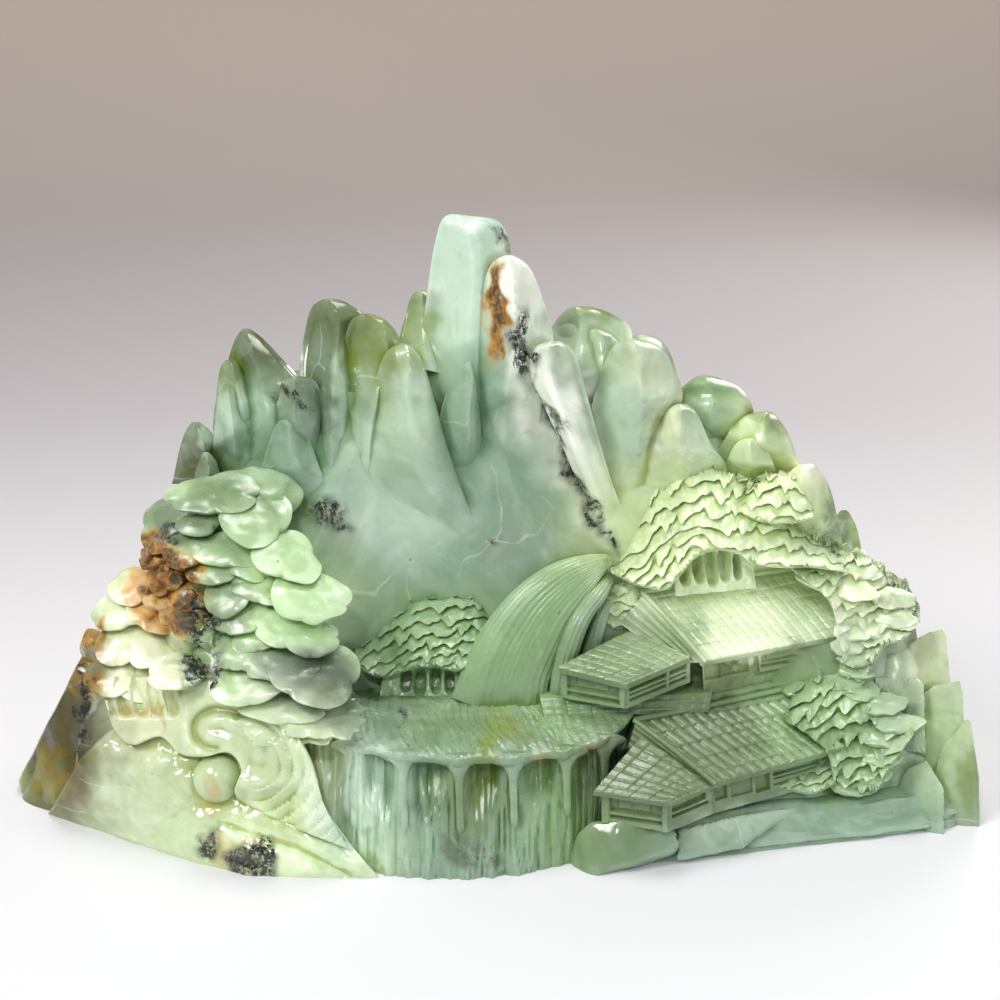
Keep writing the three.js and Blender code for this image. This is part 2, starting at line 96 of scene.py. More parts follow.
def pair(a: Array, b: Array) -> Array:
    """Two arrays side by side along a new last axis, as places on a sheet."""
    return np.stack([a, b], -1)


def turn_x(degrees: float) -> Array:
    """The turn about the X axis as a 3 by 3 array."""
    c, s = math.cos(math.radians(degrees)), math.sin(math.radians(degrees))
    return np.array([[1, 0, 0], [0, c, -s], [0, s, c]])


def turn_y(degrees: float) -> Array:
    """The turn about the Y axis as a 3 by 3 array."""
    c, s = math.cos(math.radians(degrees)), math.sin(math.radians(degrees))
    return np.array([[c, 0, s], [0, 1, 0], [-s, 0, c]])


def along(places: Sequence, t: Array) -> Array:
    """A smooth curve through evenly spaced places, as a Catmull-Rom spline.

    Args:
        places: the numbers or rows of numbers that the curve goes through.
        t: where to read it, 0 at the first place and 1 at the last.

    Returns:
        One number or row for each t.
    """
    p = np.asarray(places, float)
    flat = p.ndim == 1
    if flat:
        p = p[:, None]
    last = len(p) - 1
    x = np.clip(np.asarray(t, float), 0, 1) * last
    i = np.minimum(x.astype(int), last - 1)
    f = (x - i)[..., None]
    a, b, c, d = p[np.maximum(i - 1, 0)], p[i], p[i + 1], p[np.minimum(i + 2, last)]
    out = 0.5 * (2 * b + (c - a) * f + (2 * a - 5 * b + 4 * c - d) * f**2 + (3 * b - a - 3 * c + d) * f**3)
    return out[..., 0] if flat else out


def swell(points: Array, length: float, seed: int, octaves: int = 2) -> Array:
    """A soft unevenness: the mean of six sine waves in seeded directions, then half of it at half the length.

    Args:
        points: an array whose last axis is a place.
        length: the wave length of the first waves.
        seed: which set of directions.
        octaves: how many sets of waves are added.

    Returns:
        One number for each place, between about -1 and 1.
    """
    rng = np.random.default_rng(seed)
    total = np.zeros(points.shape[:-1])
    for octave in range(octaves):
        way = rng.normal(size=(6, points.shape[-1]))
        way *= (TAU / length * 2**octave * rng.uniform(0.7, 1.3, 6) / np.linalg.norm(way, axis=1))[:, None]
        total += np.sin(points @ way.T + rng.uniform(0, TAU, 6)).mean(-1) * 1.8 / 2**octave
    return total


@dataclass(frozen=True)
class Board:
    """The drawing board, square to the view through the middle of the block, and the eye that looks at it."""

    centre: Place = (4.0, 5.0, 161.0)
    drop: float = 20.0
    eye_distance: float = 1000.0

    @property
    def look(self) -> Array:
        """The direction of view."""
        return np.array([0, math.cos(math.radians(self.drop)), -math.sin(math.radians(self.drop))])

    @property
    def up(self) -> Array:
        """The upward direction on the board."""
        return np.array([0, math.sin(math.radians(self.drop)), math.cos(math.radians(self.drop))])

    @property
    def eye(self) -> Array:
        """The place of the eye."""
        return np.array(self.centre) - self.look * self.eye_distance

    def seen(self, across: Array, up: Array, depth: Array) -> Array:
        """The places seen at points of the board, at given depths: the eye's ray carried on to y = depth.

        Args:
            across: millimetres to the right of the board's middle.
            up: millimetres above it.
            depth: the place's own y.

        Returns:
            The places, in one more axis than the arguments.
        """
        across, up, depth = np.broadcast_arrays(*(np.asarray(v, float) for v in (across, up, depth)))
        ray = across[..., None] * np.array([1.0, 0, 0]) + up[..., None] * self.up
        ray = ray + self.look * self.eye_distance
        reach = (depth - self.eye[1]) / ray[..., 1]
        return self.eye + ray * reach[..., None]

    def drawn(self, points: Array) -> tuple[Array, Array]:
        """Where places appear on the board: the eye's ray through each, cut by the board.

        Args:
            points: an array whose last axis is a place.

        Returns:
            Millimetres across and millimetres up.
        """
        ray = points - self.eye
        ray = ray * (self.eye_distance / (ray @ self.look))[..., None]
        return ray[..., 0], ray @ self.up


BOARD = Board()


@dataclass(frozen=True)
class Form:
    """A closed surface of triangles that face outwards."""

    points: Array
    faces: Array

    def turned_out(self) -> "Form":
        """The same surface with its faces outwards: flipped where the enclosed volume is negative."""
        a, b, c = (self.points[self.faces[:, k]] for k in range(3))
        volume = np.einsum("ij,ij->i", a, np.cross(b, c)).sum()
        return self if volume > 0 else Form(self.points, self.faces[:, ::-1])


def squares(a: Array, b: Array, c: Array, d: Array) -> Array:
    """Two triangles for each square whose corners are at a, b, c and d in turn.

    Args:
        a: the number of each square's first corner.
        b: the next one round it.
        c: the corner across from a.
        d: the last one.

    Returns:
        The triangles, one row each.
    """
    first = np.stack([a, b, c], -1).reshape(-1, 3)
    second = np.stack([a, c, d], -1).reshape(-1, 3)
    return np.concatenate([first, second])


def tube(rings: Array, start: Array | None = None, end: Array | None = None) -> Form:
    """A closed skin through a stack of rings, with a pole at either end.

    Args:
        rings: an array of rings by points round by 3.
        start: the first pole, or the middle of the first ring.
        end: the last pole, or the middle of the last ring.

    Returns:
        The closed form.
    """
    count, sides = rings.shape[:2]
    start = rings[0].mean(0) if start is None else start
    end = rings[-1].mean(0) if end is None else end
    points = np.concatenate([rings.reshape(-1, 3), [start], [end]])
    ring = np.arange(count - 1)[:, None] * sides
    k = np.arange(sides)[None, :]
    after = (k + 1) % sides
    body = squares(ring + k, ring + after, ring + sides + after, ring + sides + k)
    turn, follow = np.arange(sides), (np.arange(sides) + 1) % sides
    first = np.stack([np.full(sides, count * sides), follow, turn], -1)
    base = (count - 1) * sides
    last = np.stack([np.full(sides, count * sides + 1), base + turn, base + follow], -1)
    return Form(points, np.concatenate([body, first, last])).turned_out()


def sheet_faces(rows: int, cols: int) -> tuple[Array, Array]:
    """The triangles of a grid of points, and the points along its border in turn.

    Args:
        rows: how many rows the grid has.
        cols: how many points a row has.

    Returns:
        The triangles, and the numbers of the border's points.
    """
    index = np.arange(rows * cols).reshape(rows, cols)
    sheet = squares(index[:-1, :-1], index[:-1, 1:], index[1:, 1:], index[1:, :-1])
    return sheet, np.concatenate([index[0, :-1], index[:-1, -1], index[-1, :0:-1], index[:0:-1, 0]])


def plate(front: Array, back: Array) -> Form:
    """A closed plate between two grids of the same shape: both sheets, and a wall round their edges.

    Args:
        front: the places of the front sheet, as rows by columns by 3.
        back: the places of the back sheet.

    Returns:
        The closed form.
    """
    rows, cols = front.shape[:2]
    sheet, rim = sheet_faces(rows, cols)
    after = np.roll(rim, -1)
    hidden = rows * cols
    wall = squares(rim, rim + hidden, after + hidden, after)
    points = np.concatenate([front.reshape(-1, 3), back.reshape(-1, 3)])
    return Form(points, np.concatenate([sheet, sheet[:, ::-1] + hidden, wall])).turned_out()


def sphere_directions(rows: int, cols: int) -> Array:
    """Directions over a sphere without its poles, as rows by columns by 3, from pole to pole.

    Args:
        rows: rings between the poles.
        cols: directions round each ring.

    Returns:
        The directions.
    """
    fall = (np.arange(rows) + 0.7) / (rows + 0.4) * math.pi
    turn = np.arange(cols) / cols * TAU
    f, t = np.meshgrid(fall, turn, indexing="ij")
    return np.stack([np.sin(f) * np.cos(t), np.sin(f) * np.sin(t), np.cos(f)], -1)


def ball(
    centre: Array, radius: Sequence[float], rows: int = 40, rough: float = 0.0, seed: int = 0
) -> Form:
    """An oval lump: directions times the three half sizes, pushed in and out by a soft unevenness.

    Args:
        centre: its middle.
        radius: its three half sizes.
        rows: rings from pole to pole.
        rough: how far the unevenness goes.
        seed: which unevenness.

    Returns:
        The closed form.
    """
    way = sphere_directions(rows, rows * 2)
    places = np.asarray(centre) + way * np.asarray(radius, float)
    places = places + way * (rough * swell(places, max(radius) * 0.9, seed))[..., None]
    return tube(places)


def flat_sides(corners: Array) -> tuple[Array, Array]:
    """The flat faces of the convex body round some corners.

    Args:
        corners: the corners, one row each.

    Returns:
        The outward direction of each face, and each face's distance from the middle of the corners.
    """
    middle = corners.mean(0)
    shell = bmesh.new()
    for corner in corners - middle:
        shell.verts.new(corner)
    bmesh.ops.convex_hull(shell, input=shell.verts)
    shell.normal_update()
    ways = np.array([face.normal[:] for face in shell.faces])
    reach = np.array([abs(face.normal.dot(face.verts[0].co)) for face in shell.faces])
    outward = np.sign([face.normal.dot(face.verts[0].co) for face in shell.faces])
    shell.free()
    return ways * outward[:, None], reach


def rock(corners: Array, rows: int, crisp: float, rough: float, length: float, seed: int) -> Form:
    """A worn block: flat faces that meet in rounded edges.

    In each direction the surface lies where the faces' gauges, each the direction's share of a face's
    distance, raised to the power crisp and added, make 1. A soft unevenness is added along the direction.

    Args:
        corners: corners of the convex block.
        rows: rows of the grid from pole to pole; twice as many go round.
        crisp: the power; the higher, the sharper the edges.
        rough: how far the unevenness goes in and out.
        length: the wave length of the unevenness.
        seed: which unevenness.

    Returns:
        The closed form.
    """
    corners = np.asarray(corners, float)
    middle = corners.mean(0)
    half = (corners.max(0) - corners.min(0)) / 2 + 1e-6
    ways, reach = flat_sides(corners)
    aim = sphere_directions(rows, rows * 2) * half
    gauge = np.maximum(aim @ (ways / reach[:, None]).T, 0)
    places = aim / ((gauge**crisp).sum(-1) ** (1 / crisp))[..., None]
    push = aim / np.linalg.norm(aim, axis=-1, keepdims=True)
    places = places + push * (rough * swell(places + middle, length, seed))[..., None]
    return tube(places + middle)


def board_points(rows: Rows) -> Array:
    """The places of rows of across, up and depth."""
    table = np.asarray(rows, float)
    return BOARD.seen(table[:, 0], table[:, 1], table[:, 2])


def patch(
    corners: Rows, relief: Relief, step: float, thick: float, push: Sequence[float] | None = None
) -> Form:
    """A carved four-cornered plate: a bilinear sheet, raised along its own normal by a relief.

    Args:
        corners: top left, top right, bottom right and bottom left, each across, up and depth on the board.
        relief: the height over the sheet, from millimetres along the top and millimetres down.
        step: the spacing of the grid.
        thick: how far the plate goes back.
        push: the way back, or the sheet's normal turned round.

    Returns:
        The closed form.
    """
    a, b, c, d = board_points(corners)
    wide = (np.linalg.norm(b - a) + np.linalg.norm(c - d)) / 2
    tall = (np.linalg.norm(d - a) + np.linalg.norm(c - b)) / 2
    u, v = np.meshgrid(np.linspace(0, 1, int(wide / step) + 2), np.linspace(0, 1, int(tall / step) + 2))
    us, vs = u[..., None], v[..., None]
    sheet = a * (1 - us) * (1 - vs) + b * us * (1 - vs) + c * us * vs + d * (1 - us) * vs
    normal = np.cross(d - a, b - a) + np.cross(d - c, b - c) * -1
    normal /= np.linalg.norm(normal)
    if normal @ BOARD.look > 0:
        normal = -normal
    back = -normal if push is None else np.asarray(push, float) / np.linalg.norm(push)
    front = sheet + normal * relief(u * wide, v * tall)[..., None]
    return plate(front, sheet + back * thick)


def new_mesh(name: str, form: Form) -> bpy.types.Mesh:
    """A mesh in metres from a form in millimetres.

    Args:
        name: the mesh's name.
        form: its points and triangles.

    Returns:
        The mesh.
    """
    mesh = bpy.data.meshes.new(name)
    mesh.vertices.add(len(form.points))
    mesh.vertices.foreach_set("co", (form.points * METRES).astype(np.float32).ravel())
    mesh.loops.add(form.faces.size)
    mesh.loops.foreach_set("vertex_index", form.faces.astype(np.int32).ravel())
    mesh.polygons.add(len(form.faces))
    mesh.polygons.foreach_set("loop_start", np.arange(len(form.faces), dtype=np.int32) * 3)
    mesh.update(calc_edges=True)
    return mesh


def block_form() -> Form:
    """The stone block as a closed form of twelve triangles."""
    low, high = np.array(BLOCK_LOW), np.array(BLOCK_HIGH)
    x, y, z = np.meshgrid([0, 1], [0, 1], [0, 1], indexing="ij")
    points = low + np.stack([x, y, z], -1).reshape(-1, 3) * (high - low)
    faces = [[0, 1, 3], [0, 3, 2], [4, 6, 7], [4, 7, 5], [0, 4, 5], [0, 5, 1]]
    faces += [[2, 3, 7], [2, 7, 6], [0, 2, 6], [0, 6, 4], [1, 5, 7], [1, 7, 3]]
    return Form(points, np.array(faces)).turned_out()


def carve(name: str, forms: Sequence[Form], hollows: Sequence[Form] = ()) -> bpy.types.Object:
    """One closed piece: the forms joined, less the hollows, cut to the block.

    Args:
        name: the piece's name.
        forms: the closed forms that are joined.
        hollows: closed forms that are taken out of the first form before the others join it.

    Returns:
        The piece, with crisp edges marked where its faces turn sharply.
    """
    body = bpy.data.objects.new(name, new_mesh(name, forms[0]))
    bpy.context.scene.collection.objects.link(body)
    steps = [("DIFFERENCE", list(hollows)), ("UNION", list(forms[1:])), ("INTERSECT", [block_form()])]
    spare = []
    for operation, group in steps:
        if not group:
            continue
        box = bpy.data.collections.new(f"{name}_{operation}")
        bpy.context.scene.collection.children.link(box)
        for form in group:
            one = bpy.data.objects.new("form", new_mesh("form", form))
            box.objects.link(one)
            spare.append(one)
        cut = body.modifiers.new(operation, "BOOLEAN")
        cut.operation = operation
        cut.solver = "MANIFOLD"
        cut.operand_type = "COLLECTION"
        cut.collection = box
    bpy.context.view_layer.update()
    shown = body.evaluated_get(bpy.context.evaluated_depsgraph_get())
    mesh = bpy.data.meshes.new_from_object(shown)
    body.modifiers.clear()
    body.data = mesh
    mesh.name = name
    for one in spare:
        old = one.data
        bpy.data.objects.remove(one)
        bpy.data.meshes.remove(old)
    for box in [c for c in bpy.data.collections if c.name.startswith(f"{name}_")]:
        bpy.data.collections.remove(box)
    mesh.polygons.foreach_set("use_smooth", np.ones(len(mesh.polygons), bool))
    mesh.set_sharp_from_angle(angle=CRISP_ANGLE)
    return body


@dataclass(frozen=True)
class MassLevel:
    """One level of the mountain's mass: its ends, its front on either side, its back and its middle."""

    height: float
    left: float
    right: float
    front_left: float
    front_right: float
    back: float
    middle: float


@dataclass(frozen=True)
class Oval:
    """One level of a hollow or a drum: an oval in plan."""

    height: float
    middle_x: float
    middle_y: float
    half_x: float
    half_y: float


def read_levels(levels: Sequence[MassLevel | Oval], z: Array) -> tuple[Array, ...]:
    """Every value of a stack of levels at some heights, read straight between the levels.

    Args:
        levels: the levels from the lowest up.
        z: the heights.

    Returns:
        An array for each value that follows the height.
    """
    heights, *values = np.array([astuple(level) for level in levels], float).T
    return tuple(np.interp(z, heights, value) for value in values)


@dataclass(frozen=True)
class Bedrock:
    """The mass that everything stands out from, and the open valley in front of its cliff."""

    levels: tuple[MassLevel, ...] = (
        MassLevel(0, -247, 249, -50, -64, 90, -4),
        MassLevel(45, -222, 236, -48, -34, 86, 2),
        MassLevel(80, -198, 216, -40, -8, 80, 10),
        MassLevel(120, -174, 184, -28, 8, 76, 20),
        MassLevel(160, -150, 148, -4, 14, 70, 28),
        MassLevel(190, -128, 112, 4, 18, 68, 34),
        MassLevel(214, -112, 84, 10, 22, 64, 40),
    )
    valley: tuple[Oval, ...] = (
        Oval(62, -26, -68, 84, 56),
        Oval(76, -28, -68, 96, 66),
        Oval(110, -28, -68, 100, 74),
        Oval(160, -26, -68, 102, 80),
        Oval(210, -24, -68, 100, 86),
        Oval(320, -24, -68, 112, 96),
    )

    def near(self, share: Array, z: Array) -> Array:
        """The depth of the uncut front: middle less the front's reach times the root of 1 less share squared.

        Args:
            share: the share across from the middle to either end, -1 to 1.
            z: the heights.

        Returns:
            The y of the front.
        """
        _, _, front_left, front_right, _, middle = read_levels(self.levels, z)
        front = front_left + (front_right - front_left) * ease((share + 0.3) / 0.8)
        return middle - (middle - front) * np.sqrt(1 - share**2)

    def front(self, x: Array, z: Array) -> Array:
        """The depth of the cut front: the farther of the uncut front and the back wall of the valley.

        Args:
            x: places across.
            z: their heights.

        Returns:
            The y of the stone's own face there.
        """
        mx, my, hx, hy = read_levels(self.valley, z)
        wall = my + hy * np.sqrt(np.clip(1 - ((x - mx) / hx) ** 2, 0, 1))
        wall = np.where(np.asarray(z) > self.valley[0].height, wall, BLOCK_LOW[1])
        low = np.minimum(z, self.levels[-1].height)
        left, right = read_levels(self.levels, low)[:2]
        share = np.clip((x - (left + right) / 2) / ((right - left) / 2), -1, 1)
        return np.maximum(self.near(share, low), wall)

    def mass(self, sides: int = 200, rows: int = 60) -> Form:
        """The uncut mass: rings at rising heights, round in front, squarer behind, with a worn unevenness.

        Args:
            sides: points round each ring.
            rows: rings from the base to the top.

        Returns:
            The closed form.
        """
        z = np.linspace(0, self.levels[-1].height, rows)[:, None]
        left, right, _, _, back, middle = read_levels(self.levels, z)
        turn = (np.arange(sides) + 0.5) / sides * TAU
        share = np.sign(np.cos(turn)) * np.abs(np.cos(turn)) ** 0.9
        share = share[None, :]
        x = (left + right) / 2 + (right - left) / 2 * share
        far = middle + (back - middle) * (1 - np.abs(share) ** 2.8) ** (1 / 2.8)
        y = np.where(np.sin(turn)[None, :] < 0, self.near(share, z), far)
        rings = np.stack([x, y, np.broadcast_to(z, x.shape)], -1)
        outward = rings - np.stack([x * 0.6, middle + 0 * x, rings[..., 2]], -1)
        outward /= np.linalg.norm(outward, axis=-1, keepdims=True) + 1e-9
        worn = 1.6 * swell(rings, 60, 4) + 0.9 * np.abs(swell(rings, 34, 9))
        hold = ease(rings[..., 2] / 12)
        return tube(rings + outward * (worn * hold - 1.2)[..., None])

    def hollow(self, sides: int = 150, rows: int = 80) -> Form:
        """The stone that is taken out of the valley: a stack of ovals with a slight unevenness.

        Args:
            sides: points round each oval.
            rows: ovals from the valley's floor up.

        Returns:
            The closed form.
        """
        z = np.linspace(self.valley[0].height, self.valley[-1].height, rows)[:, None]
        mx, my, hx, hy = read_levels(self.valley, z)
        turn = np.arange(sides)[None, :] / sides * TAU
        rings = np.stack([mx + hx * np.cos(turn), my + hy * np.sin(turn), z + 0 * turn], -1)
        rings[..., 1] += 1.3 * swell(rings, 70, 12) + 0.5 * swell(rings, 26, 3)
        return tube(rings)


BEDROCK = Bedrock()


@dataclass(frozen=True)
class Peak:
    """An upright peak drawn by its left and right edges on the board, its foot melting into the stone.

    left and right run from the tip to the foot, as across and up. depth is the depth of its edges at the
    tip, and thickness how far its front stands out of them. crest is where its ridge stands between the
    edges, -1 to 1, and ridge is the power of the section on both sides of it: near 1 a roof, near 2 round.
    top is the power that keeps it thick towards the tip, and facets is the number of flat cuts, each set in
    by the share cut.
    """

    left: tuple[Spot, ...]
    right: tuple[Spot, ...]
    depth: float
    thickness: float
    crest: float = 0.1
    ridge: float = 1.35
    top: float = 5.0
    facets: int = 6
    cut: float = 0.16
    foot_depth: float | None = None
    flare: float = 0.4
    fillet: float = 3.2
    rings: int = 54
    sides: int = 66

    def edge_depth(self, t: Array, foot: Array) -> Array:
        """The depth of the edges from foot to tip: from the stone's own face, or foot_depth, eased to depth.

        Args:
            t: the share up from foot to tip.
            foot: across and up of the foot's middle.

        Returns:
            The y of the edges.
        """
        start = self.foot_depth
        if start is None:
            place = BOARD.seen(*foot, 0.0)
            for _ in range(4):
                place = BOARD.seen(*foot, float(BEDROCK.front(place[0], place[2])))
            start = float(place[1]) + 0.4
        return start + (self.depth - start) * ease(t / 0.62)

    def bulge(self, s: Array, t: Array) -> Array:
        """How far the front stands out of the edges.

        The thickness, times the root of 1 - t^top, times (1 - k^ridge)^(1/ridge), where k is the share of the
        way from the crest to the nearer edge.

        Args:
            s: the share across, -1 to 1.
            t: the share up, 0 to 1.

        Returns:
            Millimetres towards the viewer.
        """
        right, left = (s - self.crest) / (1 - self.crest), (self.crest - s) / (1 + self.crest)
        way = np.where(s > self.crest, right, left)
        section = (1 - np.minimum(np.sqrt(way * way + 0.0012), 1.0) ** self.ridge) ** (1 / self.ridge)
        return self.thickness * np.sqrt(1 - np.minimum(t, 0.9999) ** self.top) * section

    def chipped(self, s: Array, t: Array) -> Array:
        """The bulge cut by flat facets: each is the plane that touches it at a seeded place, set in a little.

        Args:
            s: the share across, -1 to 1.
            t: the share up, 0 to 1.

        Returns:
            Millimetres towards the viewer.
        """
        rng = np.random.default_rng(int(abs(self.left[0][0] * 13 + self.left[0][1] * 7)) + 5)
        height = self.bulge(s, t)
        for k in range(self.facets):
            s0, t0 = (k % 2 * 2 - 1) * rng.uniform(0.1, 0.75), rng.uniform(0.35, 0.97)
            step = 0.01
            here = self.bulge(np.array(s0), np.array(t0))
            over_s = (self.bulge(np.array(s0 + step), np.array(t0)) - here) / step
            over_t = (self.bulge(np.array(s0), np.array(t0 + step)) - here) / step
            set_in = self.thickness * rng.uniform(0.5, 1.4) * self.cut
            height = np.minimum(height, here + over_s * (s - s0) + over_t * (t - t0) - set_in)
        return np.maximum(height, 0.02 * self.thickness)

    def form(self) -> Form:
        """The peak as a closed skin of rings from foot to tip."""
        step = np.linspace(0, 1, self.rings)
        t = ((1 - (1 - step) ** 1.5) * 0.9995)[:, None]
        angle = ((np.arange(self.sides) + 0.5) / self.sides * TAU)[None, :]
        s = np.cos(angle) + 0 * t
        near = np.sin(angle) > 0
        left, right = along(self.left, 1 - t[:, 0]), along(self.right, 1 - t[:, 0])
        middle = (left + right) / 2
        half = (right - left) / 2 * np.sqrt(1 - t**30) * (1 + self.flare * (1 - t) ** 1.6)
        drawn = middle[:, None] + s[..., None] * half[:, None]
        edge = self.edge_depth(t, middle[0])
        hidden = 0.8 * self.thickness * np.sqrt(1 - t**self.top) * (1 - np.abs(s) ** 2.4) ** (1 / 2.4)
        depth = np.where(near, edge - self.chipped(s, t + 0 * s), edge + hidden)
        places = BOARD.seen(drawn[..., 0], drawn[..., 1], depth)
        if self.foot_depth is None:
            above = ease((places[..., 2] - BEDROCK.levels[-1].height + 12) / 24)
            wall = BEDROCK.front(places[..., 0], places[..., 2]) + 1.2
            open_wall = wall + 60 * above
            meet = -self.fillet * np.logaddexp(-depth / self.fillet, -open_wall / self.fillet)
            meet = meet + 2.5 * ease((depth - open_wall + 2) / 6)
            fade = np.clip((0.42 - t) / 0.42, 0, 1) ** 1.4 * (1 - above)
            meet = meet * (1 - fade) + np.maximum(meet, wall + 3.6) * fade
            depth = np.where(near, meet, np.maximum(depth, wall + 6) * (1 - above) + depth * above)
            places = BOARD.seen(drawn[..., 0], drawn[..., 1], depth)
        worn = 0.30 * swell(places, 24, 21) + 0.16 * swell(places, 8, 33)
        places[..., 1] += np.where(near, worn, 0) * (1 - t**30)
        return tube(places)


@dataclass(frozen=True)
class Zone:
    """An oval seen on the board that goes right through the stone: its middle, half sizes and turn."""

    across: float
    up: float
    half_across: float
    half_up: float
    strength: float = 1.0
    turn: float = 0.0

    def share(self, across: Array, up: Array, soft: float) -> Array:
        """How much of the zone is at places of the board: 1 inside the oval, easing to 0 outside it.

        Args:
            across: millimetres to the right of the board's middle.
            up: millimetres above it.
            soft: half the width of the border, as a share of the oval's half size.

        Returns:
            One number for each place, 0 to the zone's strength.
        """
        c, s = math.cos(math.radians(self.turn)), math.sin(math.radians(self.turn))
        dx, dy = across - self.across, up - self.up
        away = np.hypot((dx * c + dy * s) / self.half_across, (dy * c - dx * s) / self.half_up)
        return self.strength * (1 - ease((away - 1 + soft) / (2 * soft)))


class Mark(Enum):
    """What a stain is made of; one dark stain is the painted shade of a small hole. The value is its place
    among the colours of the attribute stain.
    """

    RUST = 0
    DARK = 1
    CHALK = 2


# Colours of the stone, as linear light
MILK = (0.94, 0.99, 0.86)
MINT = (0.58, 0.74, 0.59)
PALE_GREEN = (0.47, 0.61, 0.44)
GREY_GREEN = (0.26, 0.38, 0.27)
DEEP_GREEN = (0.17, 0.245, 0.135)
SMOKE = (0.085, 0.115, 0.085)
LEAF_GREEN = (0.46, 0.64, 0.34)
YELLOW_GREEN = (0.61, 0.73, 0.40)
SEA_GREEN = (0.24, 0.375, 0.175)
MOSS = (0.155, 0.235, 0.098)
OLIVE = (0.185, 0.25, 0.045)
DARK_OLIVE = (0.12, 0.15, 0.05)
IVORY = (0.57, 0.67, 0.41)
LEMON = (0.60, 0.78, 0.40)
CREAM = (0.70, 0.74, 0.48)
PEARL = (0.94, 0.97, 0.70)
SAGE = (0.37, 0.48, 0.31)
SUNLIT = (0.88, 0.98, 0.68)
BROWN = (0.075, 0.058, 0.008)
AMBER = (0.64, 0.28, 0.015)
SLATE = (0.09, 0.12, 0.08)
ASH = (0.20, 0.25, 0.18)
FERN = (0.17, 0.25, 0.12)
FOREST = (0.115, 0.172, 0.068)
TAWNY = (0.09, 0.07, 0.004)

# Colours of what lies in the stone, and of the painted shade of one small hole, as linear light and opaque
THREAD_WHITE = (0.80, 0.90, 0.78, 1)
SPECK_BLACK = (0.02, 0.03, 0.015, 1)
CHALK_WHITE = (0.84, 0.86, 0.76, 1)
RUST_WASH = (0.52, 0.27, 0.030, 1)
RUST_LIGHT = (0.44, 0.165, 0.010, 1)
RUST_RED = (0.20, 0.062, 0.005, 1)
RUST_BROWN = (0.045, 0.020, 0.006, 1)
MINERAL_AND_HOLE_SHADE_WASH = (0.085, 0.105, 0.070, 1)
MINERAL_AND_HOLE_SHADE_BLACK = (0.014, 0.017, 0.010, 1)

